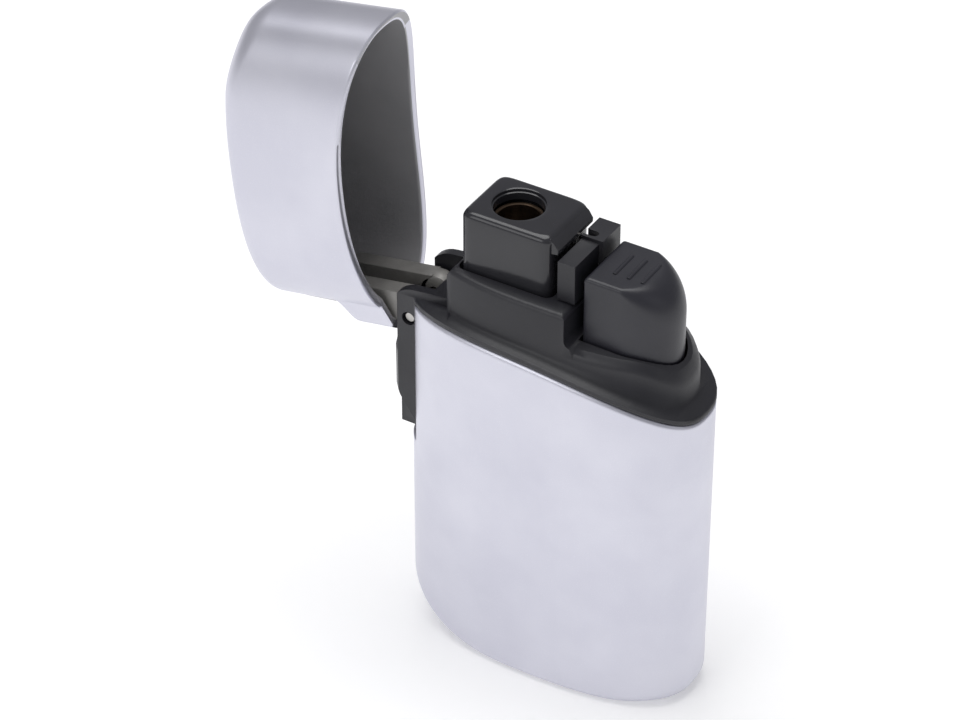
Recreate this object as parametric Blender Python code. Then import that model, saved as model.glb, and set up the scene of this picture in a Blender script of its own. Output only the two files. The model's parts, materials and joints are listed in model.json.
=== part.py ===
"""A refillable flip-cap jet lighter, standing upright with its cap open.

Metres, +Z up.  X runs along the lighter, from the hinge end (-X) to the button
end (+X); Y runs through its thickness, the front face looking along -Y.  The
origin is on the flat underside, at the middle of the body's plan.
"""

import math

import bmesh
import bpy
import numpy as np
from mathutils import Matrix

MM = 0.001

# ---- driving sizes -------------------------------------------------------

# Plan of the metal body: a lens with blunt round ends.
LENGTH = 36.5 * MM
THICKNESS = 16.6 * MM
PLAN_END_POWER = 2.4
PLAN_SIDE_POWER = 2.56
PLAN_STATIONS = 30

# Parting line between body and cap, arched in side view.
RIM_HEIGHT = 44.5 * MM
RIM_DROP_HINGE = 0.1 * MM
RIM_DROP_NOSE = 4.8 * MM
RIM_LEAN = 1.7 * MM
RIM_FLANGE = 0.85 * MM

# Underside corners in side view: width along X, height along Z.
BASE_CORNER_HINGE = (14.5 * MM, 8.2 * MM)
BASE_EDGE_RADIUS = 1.2 * MM
BASE_NOSE_RADIUS = 2.4 * MM

# Cap, measured closed.
CAP_TOP_HINGE = 61.9 * MM
CAP_TOP_NOSE = 59.4 * MM
CAP_EDGE_RADIUS = 2.3 * MM
CAP_NOSE_RADIUS = 4.4 * MM
NOSE_BLEND = 0.45
CAP_OPEN_DEGREES = 100.0
CAP_RIM_GAP = 0.3 * MM

BODY_WALL = 0.8 * MM
CAP_WALL = 1.1 * MM
SEAT_GAP = 0.2 * MM
SLIDE_GAP = 0.3 * MM

# Hinge.
PIN_X_FROM_END = 1.05 * MM
PIN_DROP = 2.4 * MM
PIN_RADIUS = 0.65 * MM
CHEEK_WIDTH = 9.2 * MM
CHEEK_WALL = 1.1 * MM
HINGE_PROUD = 2.2 * MM
CHEEK_TOP_RADIUS = 3.6 * MM
KNUCKLE_RADIUS = 2.3 * MM
ARM_LENGTH = 15.0 * MM
ARM_INNER_Y = 1.1 * MM
BOSS_HEIGHT = 8.0 * MM
LEAF_THICKNESS = 0.3 * MM
LEAF_WIDTH = 5.6 * MM
LEAF_LEG = 5.0 * MM
SPINE_DEPTH = 13.2 * MM
CAP_STOP_DROP = 5.0 * MM
TONGUE_DEPTH = 6.2 * MM
TONGUE_WIDTH = 5.2 * MM

# Black plastic chassis that carries the burner and the button.
LEDGE = 1.4 * MM
LEDGE_NOSE = 1.9 * MM
HIGH_WALL = 7.1 * MM
LOW_WALL = 3.1 * MM
STEP_X = 3.9 * MM
WALL_TUCK = 0.03 * MM
NOSE_FALL_X = 11.0 * MM
NOSE_FALL = 0.095 / MM
HOUSING_START_X = -11.6 * MM
SKIRT_DEPTH = 7.0 * MM

# Burner hood.
HOOD_MIN_X = -10.6 * MM
HOOD_MAX_X = 0.75 * MM
HOOD_WIDTH = 9.0 * MM
HOOD_RISE = 7.3 * MM
HOOD_SINK = 2.0 * MM
HOOD_WALL = 1.0 * MM
HOOD_LIP = 0.7 * MM
FLAME_X = -5.7 * MM
FLAME_RADIUS = 3.05 * MM

# Divider between hood and button.
DIVIDER_MIN_X = 1.75 * MM
DIVIDER_FRONT_MAX_X = 3.9 * MM
DIVIDER_MAX_X = 4.4 * MM
DIVIDER_WIDTH = 9.0 * MM
DIVIDER_RISE_FRONT = 5.1 * MM
DIVIDER_RISE_BACK = 5.6 * MM

# Button.
BUTTON_MIN_X = 4.85 * MM
BUTTON_MAX_X = 14.7 * MM
BUTTON_WIDTH = 8.7 * MM
BUTTON_RISE = 11.1 * MM
BUTTON_TRAVEL = 2.6 * MM
BUTTON_WALL = 1.0 * MM
BUTTON_NOSE = 5.4 * MM
BUTTON_EDGE = 0.5 * MM
BUTTON_NOSE_EDGE = (3.6 * MM, 4.8 * MM)

# Tank.
TANK_WALL = 1.2 * MM
TANK_TOP = 30.0 * MM
TANK_MIN_X = -12.2 * MM
TANK_MAX_X = 4.2 * MM
TANK_CLEARANCE = 0.4 * MM
LID_THICKNESS = 2.0 * MM

# Valves, adjuster and the lever that lifts the main valve's stem.
MAIN_VALVE_X = -5.2 * MM
MAIN_VALVE_RADIUS = 2.2 * MM
VALVE_FLANGE = 0.9 * MM
DIP_TUBE_RADIUS = 1.0 * MM
FILL_VALVE_X = 0.4 * MM
FILL_VALVE_Y = 2.9 * MM
FILL_VALVE_RADIUS = 2.0 * MM
ADJUSTER_RADIUS = 2.1 * MM
LEVER_PIVOT_X = 1.4 * MM
LEVER_TIP_X = 6.0 * MM
LEVER_SWING_DEGREES = 7.0
LEVER_WIDTH = 3.6 * MM
LEVER_PIN_RADIUS = 0.5 * MM

# Piezo unit.
PIEZO_X = 9.6 * MM
PIEZO_OUTER = 3.2 * MM
PIEZO_BORE = 2.4 * MM
PIEZO_BASE = 6.0 * MM
PIEZO_TOP = 35.6 * MM
HAMMER_TRAVEL = 1.3 * MM

NEEDLE_RADIUS = 1.0 * MM

ROUND_STEPS = 24
SMALL_STEPS = 16

# Heights inside the chassis, the lever's ears and the spark lead.
GAS_BAY_TOP = 41.2 * MM
EAR_INNER_Y = 2.2 * MM
EAR_OUTER_Y = 3.4 * MM
EAR_HALF = 1.2 * MM
MIXER_RADIUS = 1.5 * MM
LEAD_RADIUS = 0.45 * MM
SPARK_X = 2.9 * MM
SPARK_Y = 1.5 * MM
SPARK_WIRE = 0.25 * MM
LEVER_TIP_RISE = 0.9 * MM

HALF = LENGTH / 2
SIDE = THICKNESS / 2
LID_TOP = TANK_TOP + 0.8 * MM + LID_THICKNESS
LEVER_PIVOT_Z = LID_TOP + 2.9 * MM
STEM_COLLAR_Z = LID_TOP + 3.6 * MM
PIN_X = -HALF + PIN_X_FROM_END
PIN_Z = RIM_HEIGHT - PIN_DROP
LEAF_BACK_X = PIN_X + KNUCKLE_RADIUS + 2 * SLIDE_GAP
HOUSING_TOP = RIM_HEIGHT + HIGH_WALL
STEP_TOP = RIM_HEIGHT + LOW_WALL


# ---- curves of the body --------------------------------------------------


def rim_z(x):
    """Height of the metal body's top edge at x: a cubic through its two ends."""
    u = x / HALF
    curve = (RIM_DROP_NOSE + RIM_DROP_HINGE) / 2
    tilt = (RIM_DROP_NOSE - RIM_DROP_HINGE) / 2 - RIM_LEAN
    return RIM_HEIGHT - RIM_LEAN * u - curve * u**2 - tilt * u**3


def corner_rise(distance, corner):
    """Rise of an elliptical corner at this distance from its end."""
    width, height = corner
    u = min(max(1 - distance / width, 0.0), 1.0)
    return height * (1 - math.sqrt(1 - u * u))


def base_z(x):
    return corner_rise(HALF + x, BASE_CORNER_HINGE)


def crown_z(x):
    """Height of the closed cap's top at x, before its edge is rounded."""
    along = (x + HALF) / LENGTH
    return CAP_TOP_HINGE + (CAP_TOP_NOSE - CAP_TOP_HINGE) * along**1.6


def edge_radius(x, usual, nose):
    """Radius of an edge that grows from its usual size towards the nose."""
    t = min(max((x / HALF - 1 + NOSE_BLEND) / NOSE_BLEND, 0.0), 1.0)
    return usual + (nose - usual) * t * t * (3 - 2 * t)


def half_width(u):
    """Half of the plan's width at x = u * HALF."""
    return SIDE * max(1 - abs(u) ** PLAN_END_POWER, 0.0) ** (1 / PLAN_SIDE_POWER)


def ring(inset, z_of):
    """Plan outline moved in by inset (a length, or a function of x), front half first, then the back."""
    us = [-math.cos(math.pi * i / PLAN_STATIONS) for i in range(PLAN_STATIONS + 1)]
    front = []
    for u in us:
        x = u * HALF
        moved = inset(x) if callable(inset) else inset
        front.append((x * (1 - moved / HALF), -half_width(u) * (1 - moved / SIDE), z_of(x)))
    back = [(x, -y, z) for x, y, z in reversed(front[1:-1])]
    return front + back


def edge_rings(steps, usual, nose, z_of, down=True, shell=0.0):
    """Rings of a rounded edge, from the flat side out to the wall; shell moves the surface inwards."""
    made = []
    sign = -1 if down else 1
    for k in range(steps + 1):
        a = math.radians(90 * k / steps)

        def radius(x):
            return edge_radius(x, usual, nose) - shell

        def inset(x, a=a):
            return shell + radius(x) * (1 - math.sin(a))

        def height(x, a=a):
            return z_of(x) + sign * (shell + radius(x) * (1 - math.cos(a)))

        made.append(ring(inset, height))
    return made


def plan_x(y, side=-1):
    """x of the body's outer plan at this y, at the hinge end or the nose end."""
    share = min(abs(y) / SIDE, 1.0) ** PLAN_SIDE_POWER
    return side * HALF * (1 - share) ** (1 / PLAN_END_POWER)


# ---- building blocks -----------------------------------------------------


def material(name, colour, roughness, metallic=0.0):
    made = bpy.data.materials.new(name)
    made.use_nodes = True
    shader = made.node_tree.nodes["Principled BSDF"]
    shader.inputs["Base Color"].default_value = (*colour, 1.0)
    shader.inputs["Roughness"].default_value = roughness
    shader.inputs["Metallic"].default_value = metallic
    return made


def add(name, verts, faces, finish=None, smooth_degrees=30):
    mesh = bpy.data.meshes.new(name)
    mesh.from_pydata([tuple(v) for v in verts], [], faces)
    bm = bmesh.new()
    bm.from_mesh(mesh)
    bmesh.ops.remove_doubles(bm, verts=bm.verts, dist=1e-7)
    bmesh.ops.dissolve_degenerate(bm, edges=bm.edges, dist=1e-8)
    bmesh.ops.recalc_face_normals(bm, faces=bm.faces)
    bm.to_mesh(mesh)
    bm.free()
    mesh.shade_smooth()
    mesh.set_sharp_from_angle(angle=math.radians(smooth_degrees))
    made = bpy.data.objects.new(name, mesh)
    bpy.context.scene.collection.objects.link(made)
    if finish:
        mesh.materials.append(finish)
    return made


def loft(name, rings, finish=None, strips=True):
    """Closed body through equal rings; its two ends are closed by strips or by one face."""
    count = len(rings[0])
    verts = [point for one in rings for point in one]
    faces = []
    for level in range(len(rings) - 1):
        low = level * count
        for i in range(count):
            j = (i + 1) % count
            faces.append((low + i, low + j, low + count + j, low + count + i))
    for low in (0, (len(rings) - 1) * count):
        if not strips:
            faces.append(tuple(range(low, low + count)))
            continue
        half = count // 2
        for i in range(half):
            quad = [low + i, low + i + 1, low + (count - i - 1) % count, low + (count - i) % count]
            faces.append(tuple(dict.fromkeys(quad)))
    return add(name, verts, faces, finish)


def circle(radius, z, x=0.0, y=0.0, steps=ROUND_STEPS):
    angles = [2 * math.pi * i / steps for i in range(steps)]
    return [(x + radius * math.cos(a), y + radius * math.sin(a), z) for a in angles]


def turned(name, profile, finish=None, x=0.0, y=0.0, steps=ROUND_STEPS):
    """Body turned about a vertical line; profile is a list of (radius, z) from one end to the other."""
    rings = [circle(r, z, x, y, steps) for r, z in profile]
    return loft(name, rings, finish, strips=False)


def tube_part(name, outer, inner, low, high, finish=None, x=0.0, y=0.0, steps=ROUND_STEPS):
    """Round tube, open at both ends."""
    rings = [
        circle(outer, low, x, y, steps),
        circle(outer, high, x, y, steps),
        circle(inner, high, x, y, steps),
        circle(inner, low, x, y, steps),
    ]
    verts = [point for one in rings for point in one]
    faces = []
    for level in range(4):
        a = level * steps
        b = (level + 1) % 4 * steps
        for i in range(steps):
            j = (i + 1) % steps
            faces.append((a + i, a + j, b + j, b + i))
    return add(name, verts, faces, finish)


def prism(name, outline, low, high, axis="z", finish=None):
    """Outline of (a, b) pairs extruded along z (a, b = x, y) or along y (a, b = x, z)."""
    count = len(outline)
    if axis == "z":
        verts = [(a, b, t) for t in (low, high) for a, b in outline]
    elif axis == "y":
        verts = [(a, t, b) for t in (low, high) for a, b in outline]
    else:
        verts = [(t, a, b) for t in (low, high) for a, b in outline]
    faces = [tuple(range(count)), tuple(range(count, 2 * count))]
    for i in range(count):
        j = (i + 1) % count
        faces.append((i, j, count + j, count + i))
    return add(name, verts, faces, finish)


def box(name, xs, ys, zs, finish=None):
    corners = [(xs[0], ys[0]), (xs[1], ys[0]), (xs[1], ys[1]), (xs[0], ys[1])]
    return prism(name, corners, zs[0], zs[1], "z", finish)


def rounded_rect(xs, ys, radius, steps=4):
    points = []
    for cx, cy, start in (
        (xs[1] - radius, ys[1] - radius, 0),
        (xs[0] + radius, ys[1] - radius, 90),
        (xs[0] + radius, ys[0] + radius, 180),
        (xs[1] - radius, ys[0] + radius, 270),
    ):
        for k in range(steps + 1):
            a = math.radians(start + 90 * k / steps)
            points.append((cx + radius * math.cos(a), cy + radius * math.sin(a)))
    return points


def arc(cx, cz, radius, start, end, steps):
    angles = [math.radians(start + (end - start) * k / steps) for k in range(steps + 1)]
    return [(cx + radius * math.cos(a), cz + radius * math.sin(a)) for a in angles]


def spring(name, radius, wire, low, high, turns, finish, x=0.0, y=0.0, per_turn=12, sides=5):
    """Coil spring of round wire, closed at both wire ends."""
    steps = int(turns * per_turn)
    verts = []
    for i in range(steps + 1):
        a = 2 * math.pi * i / per_turn
        z = low + wire + (high - low - 2 * wire) * i / steps
        out = np.array([math.cos(a), math.sin(a), 0.0])
        centre = np.array([x, y, z]) + out * (radius - wire)
        for k in range(sides):
            b = 2 * math.pi * k / sides
            verts.append(centre + wire * (math.cos(b) * out + math.sin(b) * np.array([0.0, 0.0, 1.0])))
    faces = [tuple(range(sides)), tuple(range(steps * sides, (steps + 1) * sides))]
    for i in range(steps):
        for k in range(sides):
            m = (k + 1) % sides
            faces.append((i * sides + k, i * sides + m, (i + 1) * sides + m, (i + 1) * sides + k))
    return add(name, verts, faces, finish)


def wire_part(name, points, radius, finish, sides=8):
    """Round wire or hose along a poly line, with filled ends."""
    curve = bpy.data.curves.new(name, "CURVE")
    curve.dimensions = "3D"
    curve.bevel_depth = radius
    curve.bevel_resolution = max(sides // 4, 1)
    curve.use_fill_caps = True
    line = curve.splines.new("POLY")
    line.points.add(len(points) - 1)
    for spot, point in zip(line.points, points):
        spot.co = (*point, 1.0)
    made = bpy.data.objects.new(name, curve)
    bpy.context.scene.collection.objects.link(made)
    curve.materials.append(finish)
    return made


def smooth_path(points, per_span=5):
    """Catmull-Rom points through a few chosen ones."""
    pts = [np.array(p) for p in points]
    pts = [2 * pts[0] - pts[1]] + pts + [2 * pts[-1] - pts[-2]]
    made = []
    for a, b, c, d in zip(pts, pts[1:], pts[2:], pts[3:]):
        for k in range(per_span):
            t = k / per_span
            spot = 2 * b + (c - a) * t + (2 * a - 5 * b + 4 * c - d) * t**2 + (3 * b - a - 3 * c + d) * t**3
            made.append(tuple(spot / 2))
    return made + [tuple(pts[-2])]


def combine(target, others, operation):
    """Applies one Boolean after another to target's mesh and removes the cutters."""
    for other in others:
        cut = target.modifiers.new(operation.title(), "BOOLEAN")
        cut.operation = operation
        cut.object = other
        cut.solver = "EXACT"
        depsgraph = bpy.context.evaluated_depsgraph_get()
        mesh = bpy.data.meshes.new_from_object(target.evaluated_get(depsgraph))
        target.modifiers.remove(cut)
        old = target.data
        target.data = mesh
        bpy.data.meshes.remove(old)
        bpy.data.objects.remove(other, do_unlink=True)
    bm = bmesh.new()
    bm.from_mesh(target.data)
    bmesh.ops.remove_doubles(bm, verts=bm.verts, dist=2e-7)
    bmesh.ops.dissolve_limit(bm, angle_limit=math.radians(0.2), verts=bm.verts, edges=bm.edges)
    bmesh.ops.triangulate(bm, faces=bm.faces)
    bm.to_mesh(target.data)
    bm.free()
    target.data.set_sharp_from_angle(angle=math.radians(30))
    return target


def cut(target, *others):
    return combine(target, others, "DIFFERENCE")


def join(target, *others):
    return combine(target, others, "UNION")


def keep(target, *others):
    return combine(target, others, "INTERSECT")


def centre_origin(target, x, y, z):
    """Moves the object's origin to a point and leaves its shape where it is."""
    target.data.transform(Matrix.Translation((-x, -y, -z)))
    target.location = (x, y, z)
    return target


# ---- finishes ------------------------------------------------------------


def finishes():
    return {
        "satin": material("satin_silver_paint", (0.63, 0.63, 0.69), 0.38, 0.75),
        "black": material("black_plastic", (0.045, 0.045, 0.055), 0.55),
        "gloss": material("gloss_black_plastic", (0.03, 0.03, 0.035), 0.18),
        "steel": material("spring_steel", (0.62, 0.62, 0.62), 0.3, 1.0),
        "brass": material("brass", (0.70, 0.52, 0.24), 0.32, 1.0),
        "tank": material("smoky_tank_plastic", (0.30, 0.31, 0.33), 0.25),
        "white": material("white_acetal", (0.80, 0.80, 0.77), 0.4),
        "rubber": material("seal_rubber", (0.03, 0.03, 0.03), 0.8),
        "ceramic": material("ceramic", (0.86, 0.84, 0.78), 0.45),
        "burnt": material("heat_dark_brass", (0.12, 0.09, 0.07), 0.5, 0.7),
    }


# ---- metal body ----------------------------------------------------------


def interior(name, inset, top):
    """Solid that fills the body's inside, kept inset from its outer faces."""
    gap = inset - BODY_WALL
    rings = edge_rings(2, BASE_EDGE_RADIUS + gap, BASE_NOSE_RADIUS + gap, base_z, down=False, shell=inset)
    rings.append(ring(inset, top))
    return loft(name, rings)


def make_body(finish):
    rings = edge_rings(4, BASE_EDGE_RADIUS, BASE_NOSE_RADIUS, base_z, down=False)
    rings.append(ring(0.0, lambda x: rim_z(x) - SEAT_GAP / 2))
    rings.append(ring(BODY_WALL, lambda x: rim_z(x) - SEAT_GAP / 2))
    inner = edge_rings(2, BASE_EDGE_RADIUS, BASE_NOSE_RADIUS, base_z, down=False, shell=BODY_WALL)
    rings.extend(reversed(inner))
    body = loft("body_shell", rings, finish)
    slot_floor = PIN_Z - SPINE_DEPTH - TONGUE_DEPTH / 2 - SLIDE_GAP
    slot = box(
        "slot",
        (-LENGTH, -HALF + 6 * MM),
        (-CHEEK_WIDTH / 2 - SEAT_GAP, CHEEK_WIDTH / 2 + SEAT_GAP),
        (slot_floor, RIM_HEIGHT + 2 * MM),
    )
    fill_hole = turned(
        "fill_hole",
        [(FILL_VALVE_RADIUS + SEAT_GAP, -MM), (FILL_VALVE_RADIUS + SEAT_GAP, 4 * MM)],
        x=FILL_VALVE_X,
        y=FILL_VALVE_Y,
    )
    turn_hole = turned(
        "turn_hole",
        [(ADJUSTER_RADIUS + SLIDE_GAP, -MM), (ADJUSTER_RADIUS + SLIDE_GAP, 4 * MM)],
        x=MAIN_VALVE_X,
    )
    return cut(body, slot, fill_hole, turn_hole)


# ---- chassis -------------------------------------------------------------


def button_outline(grow=0.0):
    """Flat hinge side, straight flanks and a blunt round nose."""
    half = BUTTON_WIDTH / 2 + grow
    left = BUTTON_MIN_X - grow
    nose = BUTTON_NOSE + grow
    start = BUTTON_MAX_X - BUTTON_NOSE
    points = [(left, -half)]
    for k in range(17):
        a = math.radians(-90 + 180 * k / 16)
        points.append((start + nose * math.cos(a), half * math.sin(a)))
    points.append((left, half))
    return points


def bulge(name, half, levels, back):
    """Solid whose outer face follows the plan's hinge end, standing proud by each level's amount."""
    ys = [half * (2 * k / 8 - 1) for k in range(9)]
    rings = []
    for z, proud in levels:
        outer = [(plan_x(y) - proud, y, z) for y in ys]
        rings.append(outer + [(back, y, z) for y in reversed(ys)])
    return loft(name, rings, strips=False)


def cheek_profile():
    """Side view of the hinge block: arched over the pin, then rising to the walls round the hood."""
    face = plan_x(CHEEK_WIDTH / 2) - HINGE_PROUD
    low = PIN_Z - SPINE_DEPTH - MM
    outline = [(face - 3 * MM, low), (face - 3 * MM, PIN_Z + 1.4 * MM), (face - 0.02 * MM, PIN_Z + 1.4 * MM)]
    outline += arc(PIN_X + 1.2 * MM, PIN_Z + 0.6 * MM, CHEEK_TOP_RADIUS, 155, 95, 6)
    outline.append((HOUSING_START_X + 2 * MM, PIN_Z + CHEEK_TOP_RADIUS + 1.4 * MM))
    outline.append((HOUSING_START_X + 2 * MM, PIN_Z - 6 * MM))
    outline.append((-HALF + 3.4 * MM, PIN_Z - 6 * MM))
    outline.append((-HALF + 3.4 * MM, low))
    return outline


def low_wall_z(x):
    """Top of the wall round the button: nearly level, then falling towards the nose."""
    fall = max(x - NOSE_FALL_X, 0.0)
    return STEP_TOP - NOSE_FALL * fall * fall


def wall_rings(top_of, edge, tuck=0.0):
    """Rings of a wall inside the rim: upright, then rounded over by an edge of (width, height) steps."""
    nose = HALF - LEDGE_NOSE - tuck
    side = SIDE - LEDGE - tuck
    made = []
    for inset, drop in [(0.0, None), *edge]:
        level = []
        for x, y, _level in ring(0.0, lambda x: 0.0):
            px = x / HALF * (nose - inset)
            z = RIM_HEIGHT - 5.2 * MM if drop is None else top_of(px) - drop
            level.append((px, y / SIDE * (side - inset), z))
        made.append(level)
    return made


def make_chassis(finish):
    inner = BODY_WALL + SEAT_GAP
    flange_low = SEAT_GAP / 2
    chassis = loft(
        "chassis",
        [
            ring(0.0, lambda x: rim_z(x) + flange_low),
            ring(-0.05 * MM, lambda x: rim_z(x) + flange_low + 0.15 * MM),
            ring(-0.05 * MM, lambda x: rim_z(x) + RIM_FLANGE - 0.15 * MM),
            ring(0.15 * MM, lambda x: rim_z(x) + RIM_FLANGE),
        ],
        finish,
    )
    skirt = loft(
        "skirt",
        [ring(inner, lambda x: RIM_HEIGHT - SKIRT_DEPTH - 3 * MM), ring(inner, lambda x: rim_z(x) + RIM_FLANGE / 2)],
    )
    floor = PIN_Z - KNUCKLE_RADIUS - 2 * SLIDE_GAP - LEAF_THICKNESS
    start = HOUSING_START_X
    low_walls = loft(
        "low_walls",
        wall_rings(low_wall_z, [(0.0, 1.5 * MM), (0.25 * MM, 0.8 * MM), (0.9 * MM, 0.3 * MM), (2.6 * MM, 0.0)]),
    )
    high_walls = loft(
        "high_walls",
        wall_rings(
            lambda x: HOUSING_TOP,
            [(0.0, 0.6 * MM), (0.18 * MM, 0.18 * MM), (0.6 * MM, 0.0)],
            WALL_TUCK,
        ),
    )
    side_view = [
        (start, RIM_HEIGHT - 5 * MM),
        (STEP_X + MM, RIM_HEIGHT - 5 * MM),
        (STEP_X + MM, STEP_TOP - MM),
    ]
    side_view += arc(STEP_X + 0.9 * MM, STEP_TOP + 0.8 * MM, 0.9 * MM, 270, 180, 4)
    side_view += [(STEP_X, HOUSING_TOP - 0.5 * MM), (STEP_X - 0.5 * MM, HOUSING_TOP + 0.01 * MM)]
    side_view.append((STEP_X - 0.6 * MM, HOUSING_TOP + MM))
    side_view.append((start + MM, HOUSING_TOP + MM))
    side_view += arc(start + 1.2 * MM, HOUSING_TOP - 1.2 * MM, 1.2 * MM, 90, 180, 4)
    high_walls = keep(high_walls, prism("walls_side", side_view, -THICKNESS, THICKNESS, "y"))
    hinge_side = box("hinge_side", (-LENGTH, start + 0.5 * MM), (-SIDE, SIDE), (0.0, LENGTH * 2))
    cut(low_walls, hinge_side)
    half = CHEEK_WIDTH / 2
    foot = PIN_Z - SPINE_DEPTH
    spine = bulge(
        "spine",
        half,
        [
            (foot - 0.7 * MM, 0.0),
            (foot + 2.2 * MM, HINGE_PROUD * 0.9),
            (foot + 2.8 * MM, HINGE_PROUD),
            (RIM_HEIGHT + 10 * MM, HINGE_PROUD),
        ],
        HOUSING_START_X + 3 * MM,
    )
    stop_room = box(
        "stop_room",
        (-LENGTH, plan_x(half) - HINGE_PROUD - 0.1 * MM),
        (-SIDE, SIDE),
        (PIN_Z - CAP_STOP_DROP, 2 * LENGTH),
    )
    cut(spine, stop_room)
    spine = keep(spine, prism("cheek_side", cheek_profile(), -half - MM, half + MM, "y"))
    tongue = bulge(
        "tongue",
        TONGUE_WIDTH / 2,
        [(foot - TONGUE_DEPTH / 2, HINGE_PROUD * 0.75), (foot + 4 * MM, HINGE_PROUD * 0.75)],
        -HALF + 5.0 * MM,
    )
    knuckle_room = box(
        "knuckle_room",
        (-LENGTH, LEAF_BACK_X),
        (-half + CHEEK_WALL, half - CHEEK_WALL),
        (floor, RIM_HEIGHT + 30 * MM),
    )
    leaf_slot = box(
        "leaf_slot",
        (LEAF_BACK_X - 2 * SEAT_GAP - LEAF_THICKNESS, LEAF_BACK_X),
        (-LEAF_WIDTH / 2 - SEAT_GAP, LEAF_WIDTH / 2 + SEAT_GAP),
        (floor - LEAF_LEG - SEAT_GAP, floor + MM),
    )
    join(chassis, skirt, low_walls, high_walls, spine, tongue)
    cut(chassis, knuckle_room)
    cut(chassis, leaf_slot)

    low = RIM_HEIGHT - SKIRT_DEPTH
    ears = []
    for side in (-1, 1):
        ys = sorted((side * EAR_INNER_Y, side * EAR_OUTER_Y))
        ears.append(
            box(
                "ear",
                (LEVER_PIVOT_X - EAR_HALF, LEVER_PIVOT_X + EAR_HALF),
                ys,
                (LEVER_PIVOT_Z - EAR_HALF, low + 2 * MM),
            )
        )
    below = box("below", (-HALF + 6.2 * MM, LENGTH), (-THICKNESS, THICKNESS), (0.0, low))
    gas_bay = box(
        "gas_bay",
        (HOOD_MIN_X + 2 * MM, BUTTON_MIN_X + 2 * MM),
        (-EAR_INNER_Y, EAR_INNER_Y),
        (0.0, GAS_BAY_TOP),
    )
    cut(chassis, below)
    join(chassis, *ears)
    lead_room = box(
        "lead_room",
        (SPARK_X - MM, BUTTON_MIN_X + 2 * MM),
        (0.0, EAR_INNER_Y + 1.5 * MM),
        (0.0, GAS_BAY_TOP),
    )
    cut(chassis, gas_bay, lead_room)
    hood_bay = prism(
        "hood_bay",
        rounded_rect(
            (HOOD_MIN_X - SLIDE_GAP, HOOD_MAX_X + SLIDE_GAP),
            (-HOOD_WIDTH / 2 - SLIDE_GAP, HOOD_WIDTH / 2 + SLIDE_GAP),
            1.0 * MM,
        ),
        HOUSING_TOP - HOOD_SINK - SLIDE_GAP,
        HOUSING_TOP + 2 * MM,
    )
    burner_bore = turned(
        "burner_bore",
        [(MIXER_RADIUS + SEAT_GAP, GAS_BAY_TOP - MM), (MIXER_RADIUS + SEAT_GAP, HOUSING_TOP)],
        x=FLAME_X,
    )
    button_bay = prism("button_bay", button_outline(SLIDE_GAP), 0.0, HOUSING_TOP + 2 * MM)
    lead_hole = turned(
        "lead_hole",
        [(LEAD_RADIUS + SLIDE_GAP, 0.0), (LEAD_RADIUS + SLIDE_GAP, HOUSING_TOP)],
        x=SPARK_X,
        y=SPARK_Y,
        steps=SMALL_STEPS,
    )
    pivot_hole = prism(
        "pivot_hole",
        arc(LEVER_PIVOT_X, LEVER_PIVOT_Z, LEVER_PIN_RADIUS + SEAT_GAP, 0, 330, 11),
        -SIDE,
        SIDE,
        "y",
    )
    peg_hole = box(
        "peg_hole",
        (DIVIDER_MIN_X + 0.4 * MM - SEAT_GAP, DIVIDER_FRONT_MAX_X - 0.4 * MM + SEAT_GAP),
        (-3.0 * MM - SEAT_GAP, 3.0 * MM + SEAT_GAP),
        (HOUSING_TOP - 4 * MM, HOUSING_TOP + MM),
    )
    pin_hole = prism("pin_hole", arc(PIN_X, PIN_Z, PIN_RADIUS + SEAT_GAP, 0, 337.5, 15), -SIDE, SIDE, "y")
    return cut(chassis, hood_bay, burner_bore, button_bay, lead_hole, pivot_hole, peg_hole, pin_hole)


def make_hinge_pin(finish):
    reach = CHEEK_WIDTH / 2 - 0.35 * MM
    angles = arc(PIN_X, PIN_Z, PIN_RADIUS, 0, 360 - 360 / SMALL_STEPS, SMALL_STEPS - 1)
    return prism("hinge_pin", angles, -reach, reach, "y", finish)


def make_leaf_spring(finish):
    """Bent strip under the cap's two knuckles; its leg stands in a slot of the chassis."""
    top = PIN_Z - KNUCKLE_RADIUS - SLIDE_GAP
    low = top - LEAF_THICKNESS
    back = LEAF_BACK_X - SEAT_GAP
    outline = [
        (PIN_X - 1.2 * MM, low),
        (back - LEAF_THICKNESS, low),
        (back - LEAF_THICKNESS, low - LEAF_LEG),
        (back, low - LEAF_LEG),
        (back, top),
        (PIN_X - 1.2 * MM, top),
    ]
    prism("cap_leaf_spring", outline, -LEAF_WIDTH / 2, LEAF_WIDTH / 2, "y", finish)


# ---- cap -----------------------------------------------------------------


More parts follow.
